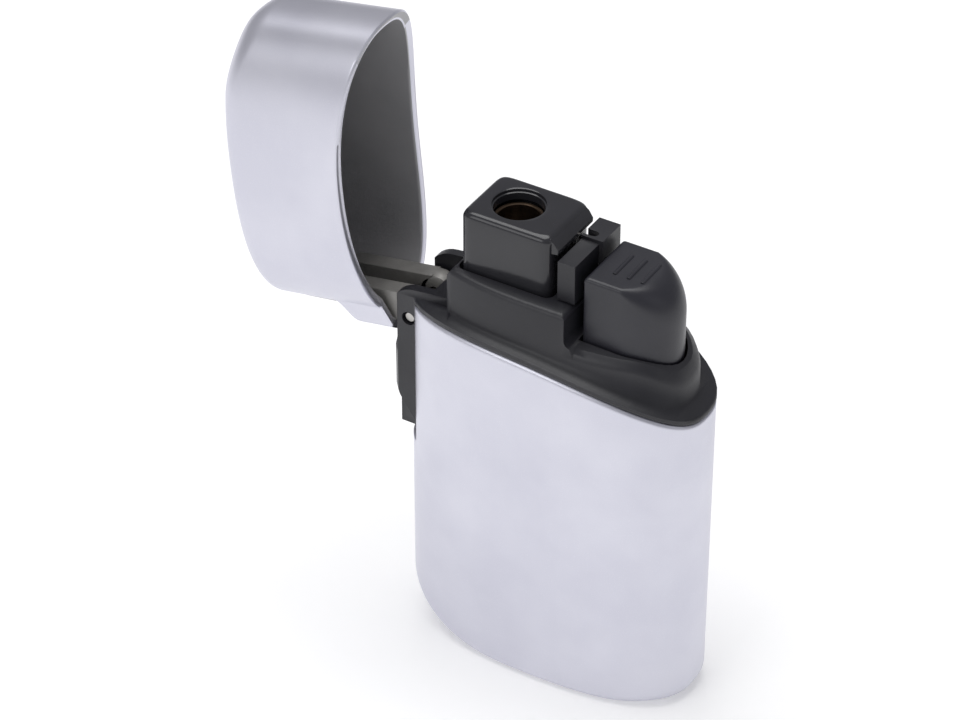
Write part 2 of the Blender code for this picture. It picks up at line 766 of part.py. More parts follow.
def make_cap(finish):
    open_z = RIM_FLANGE + CAP_RIM_GAP
    rings = edge_rings(5, CAP_EDGE_RADIUS, CAP_NOSE_RADIUS, crown_z)
    rings.append(ring(0.0, lambda x: rim_z(x) + open_z))
    rings.append(ring(CAP_WALL, lambda x: rim_z(x * (1 - CAP_WALL / HALF)) + open_z))
    rings.extend(reversed(edge_rings(4, CAP_EDGE_RADIUS, CAP_NOSE_RADIUS, crown_z, shell=CAP_WALL)))
    cap = loft("cap_shell", rings, finish)

    # Raised boss over the hinge: the body's plan moved out, fading into the wall by a ramp.
    half = CHEEK_WIDTH / 2 - 0.2 * MM
    low = PIN_Z + CHEEK_TOP_RADIUS - 1.0 * MM
    levels = [
        (low, HINGE_PROUD),
        (low + BOSS_HEIGHT * 0.60, HINGE_PROUD),
        (low + BOSS_HEIGHT * 0.72, HINGE_PROUD * 0.88),
        (low + BOSS_HEIGHT * 0.88, HINGE_PROUD * 0.36),
        (low + BOSS_HEIGHT, -CAP_WALL * 0.5),
    ]
    boss = bulge("boss", half, levels, plan_x(half) + CAP_WALL * 0.6)

    # Two arms run down inside the hinge wall to the knuckles on the pin.
    arm_out = PIN_X + KNUCKLE_RADIUS
    arm_top = PIN_Z + ARM_LENGTH
    gap = CHEEK_WIDTH / 2 - CHEEK_WALL - SLIDE_GAP
    arms = []
    for side in (-1, 1):
        ys = sorted((side * ARM_INNER_Y, side * gap))
        outline = arc(PIN_X, PIN_Z, KNUCKLE_RADIUS, 180, 360, 12)
        outline += [(arm_out, arm_top - 4 * MM), (PIN_X, arm_top), (PIN_X - 0.4 * MM, arm_top)]
        outline.append((PIN_X - 0.6 * MM, PIN_Z + 4.6 * MM))
        outline += [(PIN_X - 1.5 * MM, PIN_Z + 3.4 * MM)]
        arms.append(prism("arm", outline, ys[0], ys[1], "y"))
    join(cap, boss, *arms)

    # Room over the cheeks, so the closed cap's edge clears them.
    over = arc(PIN_X + 1.2 * MM, PIN_Z + 0.6 * MM, CHEEK_TOP_RADIUS + 2 * SLIDE_GAP, 90, 200, 8)
    notches = []
    for side in (-1, 1):
        ys = sorted((side * gap, side * (CHEEK_WIDTH / 2 + SLIDE_GAP)))
        room = over + [(PIN_X - 4 * MM, PIN_Z - 4 * MM), (HOUSING_START_X, PIN_Z - 4 * MM)]
        room += [(HOUSING_START_X, PIN_Z + CHEEK_TOP_RADIUS + 1.4 * MM + 2 * SLIDE_GAP)]
        notches.append(prism("notch", room, ys[0], ys[1], "y"))
    bores = [prism("bore", arc(PIN_X, PIN_Z, PIN_RADIUS + SEAT_GAP, 0, 337.5, 15), -SIDE, SIDE, "y")]
    cut(cap, *notches, *bores)

    axis = bpy.data.objects.new("cap_axis", None)
    bpy.context.scene.collection.objects.link(axis)
    axis.location = (PIN_X, 0.0, PIN_Z)
    cap.data.transform(Matrix.Translation((-PIN_X, 0.0, -PIN_Z)))
    cap.parent = axis
    axis.rotation_euler.y = -math.radians(CAP_OPEN_DEGREES)
    return cap


# ---- head: hood, burner, divider, button ---------------------------------


def hood_ring(inset, z, radius=0.9 * MM):
    xs = (HOOD_MIN_X + inset, HOOD_MAX_X - inset)
    ys = (-HOOD_WIDTH / 2 + inset, HOOD_WIDTH / 2 - inset)
    return [(x, y, z) for x, y in rounded_rect(xs, ys, max(radius - inset * 0.5, 0.2 * MM))]


def make_hood(finish):
    top = HOUSING_TOP + HOOD_RISE
    low = HOUSING_TOP - HOOD_SINK
    rings = [
        hood_ring(0.0, low),
        hood_ring(0.0, top - 0.7 * MM),
        hood_ring(0.2 * MM, top - 0.25 * MM),
        hood_ring(0.6 * MM, top),
    ]
    hood = loft("nozzle_hood", rings, finish, strips=False)
    lip = prism(
        "lip",
        [
            (HOOD_MAX_X - 0.8 * MM, top - 0.05 * MM),
            (HOOD_MAX_X - 0.8 * MM, top - 2.2 * MM),
            (HOOD_MAX_X + HOOD_LIP, top - 2.0 * MM),
            (HOOD_MAX_X + HOOD_LIP, top - 1.5 * MM),
            (HOOD_MAX_X, top - 0.3 * MM),
        ],
        -HOOD_WIDTH / 2 + 0.7 * MM,
        HOOD_WIDTH / 2 - 0.7 * MM,
        "y",
    )
    join(hood, lip)
    hollow = box(
        "hollow",
        (HOOD_MIN_X + HOOD_WALL, HOOD_MAX_X - HOOD_WALL),
        (-HOOD_WIDTH / 2 + HOOD_WALL, HOOD_WIDTH / 2 - HOOD_WALL),
        (low - MM, top - 1.3 * MM),
    )
    hole = turned(
        "hole",
        [
            (FLAME_RADIUS - 0.15 * MM, top - 3 * MM),
            (FLAME_RADIUS - 0.15 * MM, top - 0.5 * MM),
            (FLAME_RADIUS, top - 0.5 * MM),
            (FLAME_RADIUS, top + MM),
        ],
        x=FLAME_X,
        steps=32,
    )
    return cut(hood, hollow, hole)


def make_burner(parts):
    top = HOUSING_TOP + HOOD_RISE
    rim = top - 1.3 * MM - SLIDE_GAP
    outer = FLAME_RADIUS - 0.2 * MM
    tube_part("flame_tube", outer, outer - 0.45 * MM, rim - 6.5 * MM, rim, parts["burnt"], FLAME_X)
    seat = rim - 6.5 * MM - SEAT_GAP
    mixer = turned(
        "mixer_tube",
        [
            (MIXER_RADIUS, seat - 6 * MM),
            (MIXER_RADIUS, seat - 0.9 * MM),
            (2.6 * MM, seat - 0.9 * MM),
            (2.6 * MM, seat),
        ],
        parts["brass"],
        x=FLAME_X,
    )
    bore = turned("bore", [(0.9 * MM, seat - 7 * MM), (0.9 * MM, seat + MM)], x=FLAME_X, steps=SMALL_STEPS)
    air = prism("air", arc(FLAME_X, seat - 4.2 * MM, 0.5 * MM, 0, 315, 7), -4 * MM, 4 * MM, "y")
    cut(mixer, bore, air)
    flame_plate = turned(
        "flame_plate",
        [(2.2 * MM, seat + 0.8 * MM), (2.2 * MM, seat + 1.5 * MM)],
        parts["steel"],
        x=FLAME_X,
    )
    ports = []
    for k in range(6):
        a = math.radians(60 * k)
        spot = (FLAME_X + 1.4 * MM * math.cos(a), 1.4 * MM * math.sin(a))
        ports.append(
            turned("port", [(0.28 * MM, seat), (0.28 * MM, seat + 2 * MM)], x=spot[0], y=spot[1], steps=8),
        )
    ports.append(turned("port", [(0.4 * MM, seat), (0.4 * MM, seat + 2 * MM)], x=FLAME_X, steps=8))
    cut(flame_plate, *ports)
    jet_top = seat - 6 * MM - SEAT_GAP
    turned(
        "gas_jet",
        [
            (0.5 * MM, jet_top - 3.4 * MM),
            (0.5 * MM, jet_top - 1.6 * MM),
            (1.2 * MM, jet_top - 1.6 * MM),
            (1.2 * MM, jet_top - 0.3 * MM),
            (0.9 * MM, jet_top),
        ],
        parts["brass"],
        x=FLAME_X,
        steps=SMALL_STEPS,
    )
    return jet_top


def make_divider(finish):
    half = DIVIDER_WIDTH / 2
    base = HOUSING_TOP + SEAT_GAP
    post = box(
        "divider_post",
        (DIVIDER_MIN_X, DIVIDER_MAX_X),
        (-half, half),
        (base, HOUSING_TOP + DIVIDER_RISE_BACK),
        finish,
    )
    step = box(
        "step",
        (DIVIDER_MIN_X - MM, DIVIDER_MAX_X + MM),
        (-half - MM, 0.6 * MM),
        (HOUSING_TOP + DIVIDER_RISE_FRONT, HOUSING_TOP + 2 * DIVIDER_RISE_BACK),
    )
    notch = box(
        "notch",
        (DIVIDER_MIN_X - MM, DIVIDER_MIN_X + 1.1 * MM),
        (SPARK_Y - 0.5 * MM, SPARK_Y + 0.5 * MM),
        (HOUSING_TOP + DIVIDER_RISE_FRONT - 0.9 * MM, HOUSING_TOP + 2 * DIVIDER_RISE_BACK),
    )
    bore = turned(
        "bore",
        [(SPARK_WIRE + SEAT_GAP, 0.0), (SPARK_WIRE + SEAT_GAP, HOUSING_TOP + 2 * DIVIDER_RISE_BACK)],
        x=SPARK_X,
        y=SPARK_Y,
        steps=SMALL_STEPS,
    )
    peg = box(
        "peg",
        (DIVIDER_MIN_X + 0.4 * MM, DIVIDER_FRONT_MAX_X - 0.4 * MM),
        (-3.0 * MM, 3.0 * MM),
        (HOUSING_TOP - 3.6 * MM, base + MM),
    )
    face = box(
        "face",
        (DIVIDER_FRONT_MAX_X, DIVIDER_MAX_X + MM),
        (-half - MM, 0.6 * MM),
        (base - MM, HOUSING_TOP + 2 * DIVIDER_RISE_BACK),
    )
    join(post, peg)
    return cut(post, step, face, notch, bore)


def make_button(finish):
    top = RIM_HEIGHT + BUTTON_RISE
    low = RIM_HEIGHT - 4.6 * MM
    outline = button_outline()
    nose_start = BUTTON_MAX_X - BUTTON_NOSE

    def level(turn, z=None):
        """One ring of the rounded top edge; turn runs from 0 (flat top) to 90 degrees (upright wall)."""
        a = math.radians(turn)
        made = []
        for x, y in outline:
            t = min(max((x - nose_start) / BUTTON_NOSE, 0.0), 1.0)
            across = BUTTON_EDGE + (BUTTON_NOSE_EDGE[0] - BUTTON_EDGE) * t
            deep = BUTTON_EDGE + (BUTTON_NOSE_EDGE[1] - BUTTON_EDGE) * t
            inset = across * (1 - math.sin(a))
            drop = deep * (1 - math.cos(a))
            if x > nose_start:
                px = nose_start + (x - nose_start) * (1 - inset / BUTTON_NOSE)
            else:
                px = x + inset if x < BUTTON_MIN_X + BUTTON_EDGE / 2 else x
            made.append((px, y * (1 - inset / (BUTTON_WIDTH / 2)), top - drop if z is None else z))
        return made

    rings = [level(90, low)] + [level(turn) for turn in (90, 66, 44, 22, 0)]
    button = loft("button", rings, finish, strips=False)
    hollow = prism("hollow", button_outline(-BUTTON_WALL), low - MM, top - BUTTON_NOSE_EDGE[1] - BUTTON_WALL)
    cut(button, hollow)
    ribs = []
    for k in range(3):
        x = BUTTON_MIN_X + (2.2 + 1.7 * k) * MM
        ribs.append(box("rib", (x, x + 0.55 * MM), (-2.0 * MM, 2.0 * MM), (top - 0.6 * MM, top + 0.18 * MM)))
    join(button, *ribs)
    tip_drop = (LEVER_TIP_X - LEVER_PIVOT_X) * math.sin(math.radians(LEVER_SWING_DEGREES))
    tab_low = LEVER_PIVOT_Z + LEVER_TIP_RISE + BUTTON_TRAVEL - tip_drop + SLIDE_GAP
    tab = box(
        "tab",
        (BUTTON_MIN_X + 0.15 * MM, BUTTON_MIN_X + BUTTON_WALL),
        (-1.6 * MM, 1.6 * MM),
        (tab_low, low + 2 * MM),
    )
    join(button, tab)
    return top


# ---- ignition ------------------------------------------------------------


def make_piezo(parts, button_top):
    x = PIEZO_X
    base = PIEZO_BASE
    sleeve = prism(
        "piezo_sleeve",
        rounded_rect((x - PIEZO_OUTER, x + PIEZO_OUTER), (-PIEZO_OUTER, PIEZO_OUTER), 0.6 * MM, 2),
        base,
        PIEZO_TOP,
        "z",
        parts["white"],
    )
    legs = []
    for side in (-1, 1):
        ys = sorted((side * (PIEZO_OUTER - 1.2 * MM), side * PIEZO_OUTER))
        legs.append(
            box("leg", (x - PIEZO_OUTER, x - PIEZO_OUTER + 2.2 * MM), ys, (BODY_WALL + SLIDE_GAP, base + MM)),
        )
    join(sleeve, *legs)
    bore = turned("bore", [(PIEZO_BORE, base + 1.0 * MM), (PIEZO_BORE, PIEZO_TOP + MM)], x=x)
    drain = turned("drain", [(1.0 * MM, base - MM), (1.0 * MM, base + 2 * MM)], x=x, steps=SMALL_STEPS)
    cut(sleeve, bore, drain)
    fit = PIEZO_BORE - SLIDE_GAP
    floor = base + 1.0 * MM + SEAT_GAP
    turned(
        "piezo_crystal",
        [(fit - 0.4 * MM, floor), (fit - 0.4 * MM, floor + 6 * MM)],
        parts["ceramic"],
        x=x,
    )
    anvil = floor + 6 * MM + SEAT_GAP
    turned(
        "piezo_anvil",
        [(fit, anvil), (fit, anvil + 1.2 * MM), (fit - 0.8 * MM, anvil + 1.8 * MM)],
        parts["steel"],
        x=x,
    )
    hammer = anvil + 1.8 * MM + SLIDE_GAP + HAMMER_TRAVEL
    turned(
        "piezo_hammer",
        [(fit - 0.8 * MM, hammer), (fit, hammer + 0.8 * MM), (fit, hammer + 5 * MM)],
        parts["steel"],
        x=x,
    )
    rod_low = PIEZO_TOP - 5.6 * MM
    spring(
        "piezo_impact_spring",
        fit - 0.1 * MM,
        0.28 * MM,
        hammer + 5 * MM + SEAT_GAP,
        rod_low - SEAT_GAP,
        6,
        parts["steel"],
        x=x,
    )
    head_low = PIEZO_TOP + BUTTON_TRAVEL + 4 * SLIDE_GAP
    head_top = button_top - BUTTON_NOSE_EDGE[1] - BUTTON_WALL - SEAT_GAP
    plunger = turned("piezo_plunger", [(fit, rod_low), (fit, head_low + MM)], parts["white"], x=x)
    head = box(
        "head",
        (x - 2.4 * MM, x + 2.4 * MM),
        (-2.4 * MM, 2.4 * MM),
        (head_low, head_top),
    )
    join(plunger, head)
    spring(
        "piezo_return_spring",
        fit + 0.85 * MM,
        0.28 * MM,
        PIEZO_TOP + SEAT_GAP,
        head_low - SEAT_GAP,
        3,
        parts["steel"],
        x=x,
    )
    wire_part(
        "piezo_contact",
        [(x, 0, floor - 0.3 * MM), (x, 0, base - 1.3 * MM)],
        0.6 * MM,
        parts["brass"],
    )


def make_ignition_lead(parts):
    """Insulated lead from under the piezo unit, up past the tank and the lever, to the divider post."""
    low = PIEZO_BASE - 2.2 * MM
    channel = TANK_MAX_X + 1.05 * MM
    beside = EAR_INNER_Y + 0.7 * MM
    past_button = BUTTON_MIN_X - SLIDE_GAP - 2 * LEAD_RADIUS
    route = [
        (PIEZO_X, 0.0, low),
        (PIEZO_X - 2.2 * MM, 0.0, low),
        (channel + 0.6 * MM, 0.0, low + 0.6 * MM),
        (channel, 0.0, low + 3 * MM),
        (channel, 0.0, PIEZO_TOP - 12 * MM),
        (channel, beside, PIEZO_TOP - 6 * MM),
        (channel, beside, PIEZO_TOP - 3 * MM),
        (past_button, beside, PIEZO_TOP),
        (past_button, beside, PIEZO_TOP + 2 * MM),
        (SPARK_X + 0.6 * MM, SPARK_Y + 0.4 * MM, GAS_BAY_TOP - 1.6 * MM),
        (SPARK_X, SPARK_Y, GAS_BAY_TOP),
        (SPARK_X, SPARK_Y, HOUSING_TOP - 5.0 * MM),
    ]
    return wire_part("ignition_lead", smooth_path(route, 5), LEAD_RADIUS, parts["rubber"])


def make_electrode(parts):
    """Bare spark wire, up through the divider post, over its notch and down towards the hood."""
    top = HOUSING_TOP + DIVIDER_RISE_FRONT - 0.35 * MM
    route = [
        (SPARK_X, SPARK_Y, HOUSING_TOP - 4.4 * MM),
        (SPARK_X, SPARK_Y, top - 0.5 * MM),
        (SPARK_X - 0.15 * MM, SPARK_Y, top - 0.15 * MM),
        (SPARK_X - 0.5 * MM, SPARK_Y, top),
        (DIVIDER_MIN_X - 0.3 * MM, SPARK_Y, top),
        (DIVIDER_MIN_X - 0.6 * MM, SPARK_Y, top - 0.3 * MM),
        (DIVIDER_MIN_X - 0.65 * MM, SPARK_Y, top - 3.0 * MM),
    ]
    return wire_part("electrode_wire", route, SPARK_WIRE, parts["steel"])


# ---- gas path ------------------------------------------------------------


def make_tank(parts):
    gap = BODY_WALL + TANK_CLEARANCE
    tank = interior("fuel_tank", gap, lambda x: TANK_TOP)
    tank.data.materials.append(parts["tank"])
    keep(tank, box("span", (TANK_MIN_X, TANK_MAX_X), (-SIDE, SIDE), (0.0, LENGTH)))
    room = interior("room", gap + TANK_WALL, lambda x: TANK_TOP + MM)
    keep(
        room,
        box("span", (TANK_MIN_X + TANK_WALL, TANK_MAX_X - TANK_WALL), (-SIDE, SIDE), (0.0, 2 * LENGTH)),
    )
    cut(tank, room)
    neck = turned(
        "neck",
        [(FILL_VALVE_RADIUS + SEAT_GAP, -MM), (FILL_VALVE_RADIUS + SEAT_GAP, 12 * MM)],
        x=FILL_VALVE_X,
        y=FILL_VALVE_Y,
    )
    needle = turned(
        "needle",
        [(NEEDLE_RADIUS + SEAT_GAP, -MM), (NEEDLE_RADIUS + SEAT_GAP, 6 * MM)],
        x=MAIN_VALVE_X,
        steps=SMALL_STEPS,
    )
    head = turned(
        "head",
        [
            (ADJUSTER_RADIUS + SLIDE_GAP, -MM),
            (ADJUSTER_RADIUS + SLIDE_GAP, gap + 0.4 * MM + SEAT_GAP),
        ],
        x=MAIN_VALVE_X,
    )
    cut(tank, neck, needle, head)

    lid = loft(
        "tank_lid",
        [ring(gap, lambda x: TANK_TOP + 0.8 * MM), ring(gap, lambda x: TANK_TOP + 0.8 * MM + LID_THICKNESS)],
    )
    lid.data.materials.append(parts["tank"])
    keep(lid, box("span", (TANK_MIN_X, TANK_MAX_X), (-SIDE, SIDE), (0.0, LENGTH)))
    seat = turned(
        "seat",
        [(MAIN_VALVE_RADIUS + SEAT_GAP, TANK_TOP), (MAIN_VALVE_RADIUS + SEAT_GAP, TANK_TOP + 5 * MM)],
        x=MAIN_VALVE_X,
    )
    cut(lid, seat)

    low, high = TANK_TOP + SEAT_GAP, TANK_TOP + 0.8 * MM - SEAT_GAP
    gasket = loft("tank_gasket", [ring(gap, lambda x: low), ring(gap, lambda x: high)])
    gasket.data.materials.append(parts["rubber"])
    keep(gasket, box("span", (TANK_MIN_X, TANK_MAX_X), (-SIDE, SIDE), (0.0, LENGTH)))
    hole = loft(
        "hole",
        [ring(gap + TANK_WALL, lambda x: low - MM), ring(gap + TANK_WALL, lambda x: high + MM)],
    )
    keep(
        hole,
        box("span", (TANK_MIN_X + TANK_WALL, TANK_MAX_X - TANK_WALL), (-SIDE, SIDE), (0.0, 2 * LENGTH)),
    )
    cut(gasket, hole)


def make_main_valve(parts, jet_top):
    x = MAIN_VALVE_X
    top = LID_TOP
    body = turned(
        "main_valve_body",
        [
            (MAIN_VALVE_RADIUS, TANK_TOP - 5 * MM),
            (MAIN_VALVE_RADIUS, top + SEAT_GAP),
            (MAIN_VALVE_RADIUS + VALVE_FLANGE, top + SEAT_GAP),
            (MAIN_VALVE_RADIUS + VALVE_FLANGE, top + 1.2 * MM),
        ],
        parts["brass"],
        x=x,
    )
    bore = turned(
        "bore",
        [
            (0.5 * MM, TANK_TOP - 6 * MM),
            (0.5 * MM, TANK_TOP - 4.2 * MM),
            (1.6 * MM, TANK_TOP - 4.2 * MM),
            (1.6 * MM, top + 2 * MM),
        ],
        x=x,
        steps=SMALL_STEPS,
    )
    cut(body, bore)
    foot = TANK_TOP - 4.2 * MM + SEAT_GAP
    tube_part(
        "main_valve_seal",
        1.35 * MM,
        0.55 * MM,
        foot,
        foot + 0.7 * MM,
        parts["rubber"],
        x,
        steps=SMALL_STEPS,
    )
    stem_low = foot + 0.7 * MM + SEAT_GAP
    stem_top = STEM_COLLAR_Z + 1.6 * MM
    turned(
        "main_valve_stem",
        [
            (0.9 * MM, stem_low),
            (0.9 * MM, stem_low + 1.4 * MM),
            (0.5 * MM, stem_low + 1.4 * MM),
            (0.5 * MM, STEM_COLLAR_Z),
            (1.3 * MM, STEM_COLLAR_Z),
            (1.3 * MM, STEM_COLLAR_Z + 0.6 * MM),
            (0.45 * MM, STEM_COLLAR_Z + 0.6 * MM),
            (0.45 * MM, stem_top),
        ],
        parts["brass"],
        x=x,
        steps=SMALL_STEPS,
    )
    spring(
        "main_valve_spring",
        1.4 * MM,
        0.2 * MM,
        stem_low + 1.4 * MM + SEAT_GAP,
        top + 1.0 * MM,
        5,
        parts["steel"],
        x=x,
        per_turn=10,
    )
    lift = (LEVER_PIVOT_X - x) * math.radians(LEVER_SWING_DEGREES)
    hose_low = stem_top + lift + SEAT_GAP
    jet_low = jet_top - 3.4 * MM - SEAT_GAP
    route = [
        (x, 0.0, hose_low),
        (x, 0.0, hose_low + 0.4 * MM),
        (FLAME_X, 0.0, jet_low - 0.4 * MM),
        (FLAME_X, 0.0, jet_low),
    ]
    wire_part("gas_hose", smooth_path(route, 4), 0.7 * MM, parts["rubber"])


def make_lever(parts):
    """Rocker: the button's tab pushes one end down and the fork lifts the main valve's stem."""
    x, z = LEVER_PIVOT_X, LEVER_PIVOT_Z
    fork_z = STEM_COLLAR_Z - SLIDE_GAP
    fork_end = MAIN_VALVE_X - 1.3 * MM
    outline = [
        (fork_end, fork_z - 0.9 * MM),
        (x - 1.2 * MM, z - 1.0 * MM),
        (x + 1.2 * MM, z - 1.0 * MM),
        (LEVER_TIP_X, z),
        (LEVER_TIP_X, z + LEVER_TIP_RISE),
        (x + 1.2 * MM, z + 1.2 * MM),
        (x - 1.2 * MM, z + 1.2 * MM),
        (fork_end, fork_z),
    ]
    lever = prism("gas_lever", outline, -LEVER_WIDTH / 2, LEVER_WIDTH / 2, "y", parts["white"])
    fork = box(
        "fork",
        (MAIN_VALVE_X - 3 * MM, MAIN_VALVE_X + 1.3 * MM + SLIDE_GAP),
        (-0.85 * MM, 0.85 * MM),
        (z - 4 * MM, z + 4 * MM),
    )
    bore = prism("bore", arc(x, z, LEVER_PIN_RADIUS + SEAT_GAP, 0, 330, 11), -3 * MM, 3 * MM, "y")
    cut(lever, fork, bore)
    centre_origin(lever, x, 0.0, z)
    reach = EAR_OUTER_Y - SEAT_GAP
    prism("lever_pin", arc(x, z, LEVER_PIN_RADIUS, 0, 330, 11), -reach, reach, "y", parts["steel"])


def make_fill_valve(parts):
    x = FILL_VALVE_X
    y = FILL_VALVE_Y
    low = 0.5 * MM
    body = turned(
        "fill_valve_body",
        [(FILL_VALVE_RADIUS, low), (FILL_VALVE_RADIUS, low + 7.5 * MM)],
        parts["brass"],
        x=x,
        y=y,
    )
    bore = turned(
        "bore",
        [
            (0.9 * MM, low - MM),
            (0.9 * MM, low + 1.2 * MM),
            (1.6 * MM, low + 1.2 * MM),
            (1.6 * MM, low + 6.4 * MM),
            (0.7 * MM, low + 6.4 * MM),
            (0.7 * MM, low + 9 * MM),
        ],
        x=x,
        y=y,
        steps=SMALL_STEPS,
    )
    cut(body, bore)
    seat = low + 1.2 * MM + SEAT_GAP
    tube_part(
        "fill_valve_seal",
        1.35 * MM,
        0.85 * MM,
        seat,
        seat + 0.6 * MM,
        parts["rubber"],
        x,
        y,
        steps=SMALL_STEPS,
    )
    turned(
        "fill_valve_stem",
        [
            (0.6 * MM, low + 0.3 * MM),
            (0.6 * MM, seat + 0.6 * MM + SEAT_GAP),
            (1.25 * MM, seat + 0.6 * MM + SEAT_GAP),
            (1.25 * MM, seat + 1.6 * MM),
            (0.5 * MM, seat + 1.6 * MM),
            (0.5 * MM, seat + 2.6 * MM),
        ],
        parts["steel"],
        x=x,
        y=y,
        steps=SMALL_STEPS,
    )
    spring(
        "fill_valve_spring",
        1.35 * MM,
        0.2 * MM,
        seat + 1.6 * MM + SEAT_GAP,
        low + 6.4 * MM - SEAT_GAP,
        4,
        parts["steel"],
        x=x,
        y=y,
        per_turn=10,
    )


def make_adjuster(parts):
    """Slotted screw in the underside; its needle meters the gas at the foot of the dip tube."""
    x = MAIN_VALVE_X
    low = 0.5 * MM
    tank_floor = BODY_WALL + TANK_CLEARANCE
    head = tank_floor - SEAT_GAP + 0.4 * MM
    needle_top = tank_floor + TANK_WALL + 3.0 * MM
    adjuster = turned(
        "flame_adjuster",
        [
            (ADJUSTER_RADIUS - 0.3 * MM, low),
            (ADJUSTER_RADIUS, low + 0.3 * MM),
            (ADJUSTER_RADIUS, head),
            (NEEDLE_RADIUS, head),
            (NEEDLE_RADIUS, needle_top - 0.8 * MM),
            (NEEDLE_RADIUS - 0.4 * MM, needle_top),
        ],
        parts["brass"],
        x=x,
    )
    slot = box("slot", (x - 1.5 * MM, x + 1.5 * MM), (-0.3 * MM, 0.3 * MM), (0.0, low + 0.6 * MM))
    cut(adjuster, slot)
    centre_origin(adjuster, x, 0.0, low)
    seal_low = tank_floor + TANK_WALL + base_z(x - ADJUSTER_RADIUS) + SLIDE_GAP
    seal_in = NEEDLE_RADIUS + SEAT_GAP
    tube_part("adjuster_seal", 1.9 * MM, seal_in, seal_low, seal_low + 0.8 * MM, parts["rubber"], x)
    foot = needle_top + SEAT_GAP
    tube_part(
        "dip_tube",
        DIP_TUBE_RADIUS,
        DIP_TUBE_RADIUS - 0.35 * MM,
        foot,
        TANK_TOP - 5 * MM - SEAT_GAP,
        parts["brass"],
        x,
        steps=SMALL_STEPS,
    )


# ---- the whole lighter ---------------------------------------------------


def main():
    for old in list(bpy.data.objects):
        bpy.data.objects.remove(old, do_unlink=True)
    parts = finishes()
    make_body(parts["satin"])
    make_chassis(parts["black"])
    make_hinge_pin(parts["steel"])
    make_leaf_spring(parts["steel"])
    make_cap(parts["satin"])
    make_hood(parts["gloss"])
    jet_top = make_burner(parts)
    make_divider(parts["black"])
    button_top = make_button(parts["black"])
    make_piezo(parts, button_top)
    make_ignition_lead(parts)
    make_electrode(parts)
    make_tank(parts)
    make_main_valve(parts, jet_top)
    make_lever(parts)
    make_fill_valve(parts)
    make_adjuster(parts)


main()
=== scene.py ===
# %% [markdown]
# # A pocket lighter with a swing cap
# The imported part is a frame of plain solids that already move. This notebook gives it the surfaces that
# a real one has: lacquered metal shells, moulded black plastic, a machined pin and a soft studio light.
# Every new piece is a surface worked out with numpy, in metres, in the same axes as the frame.

# %% Load the frame
import json
import math
import bmesh
import bpy
import numpy as np
from mathutils import Matrix, Vector


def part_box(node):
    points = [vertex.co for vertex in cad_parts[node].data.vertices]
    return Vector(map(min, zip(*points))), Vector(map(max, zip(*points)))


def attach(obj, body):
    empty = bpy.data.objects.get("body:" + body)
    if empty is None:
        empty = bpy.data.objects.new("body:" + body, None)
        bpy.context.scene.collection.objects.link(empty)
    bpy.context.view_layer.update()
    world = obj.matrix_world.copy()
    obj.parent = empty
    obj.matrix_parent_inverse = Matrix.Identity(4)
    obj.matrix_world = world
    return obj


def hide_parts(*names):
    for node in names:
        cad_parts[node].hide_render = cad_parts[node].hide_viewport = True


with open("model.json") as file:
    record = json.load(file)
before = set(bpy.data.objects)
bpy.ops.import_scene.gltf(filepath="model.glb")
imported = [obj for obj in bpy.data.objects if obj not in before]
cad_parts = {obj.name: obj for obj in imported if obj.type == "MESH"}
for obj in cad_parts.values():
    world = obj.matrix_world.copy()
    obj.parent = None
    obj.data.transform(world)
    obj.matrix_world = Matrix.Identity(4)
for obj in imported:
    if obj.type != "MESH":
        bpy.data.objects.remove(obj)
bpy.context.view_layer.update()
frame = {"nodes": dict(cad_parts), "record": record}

# %% [markdown]
# ## Sizes
# The plan of the body is a long lens: a superellipse that is blunter at its ends than an ellipse.
# Its length and thickness come from the frame, and the other sizes are named here once.

# %% Sizes of the shells
MM = 0.001
body_low, body_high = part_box("body_shell")
HALF = (body_high.x - body_low.x) / 2
SIDE = (body_high.y - body_low.y) / 2
END_POWER = 2.4
SIDE_POWER = 2.56
RIM_HEIGHT = 44.5 * MM
RIM_CURVE = 2.45 * MM
RIM_LEAN = 1.7 * MM
RIM_TILT = 0.65 * MM
FLANGE = 0.85 * MM
BODY_WALL = 0.8 * MM
CAP_WALL = 1.1 * MM
PIN_X = -HALF + 1.05 * MM
PIN_Z = 42.1 * MM
OPEN_ANGLE = math.radians(100)
FLAME_X = -5.7 * MM
SLOT_STEPS = 28
print("body half length and half thickness in mm:", round(HALF / MM, 2), round(SIDE / MM, 2))


# %% Heights along the length
def rim_z(x):
    """Metal rim height: a cubic in x, level over the hinge and falling towards the nose."""
    u = x / HALF
    return RIM_HEIGHT - RIM_LEAN * u - RIM_CURVE * u**2 - RIM_TILT * u**3


def base_z(x):
    """Underside: flat, but rising in a quarter ellipse over the last stretch at the hinge end."""
    u = np.clip(1 - (HALF + x) / (14.5 * MM), 0, 1)
    return 8.2 * MM * (1 - np.sqrt(1 - u * u))


def crown_z(x):
    """Top of the shut cap: 61.9 mm at the hinge end, falling faster and faster to 59.4 mm at the nose."""
    along = np.clip((x + HALF) / (2 * HALF), 0, 1)
    return 61.9 * MM - 2.5 * MM * along**1.6


def edge_radius(x, usual, nose):
    """Edge radius: the usual one, blended by a smooth step to a larger one at the nose."""
    t = np.clip((x / HALF - 0.55) / 0.45, 0, 1)
    return usual + (nose - usual) * t * t * (3 - 2 * t)


# %% [markdown]
# ## From arrays to meshes
# A surface is an array of rows of points. Each row runs once round the piece, and the rows run from one
# end of the surface to the other. The first and last row close on their middle, or on each other.


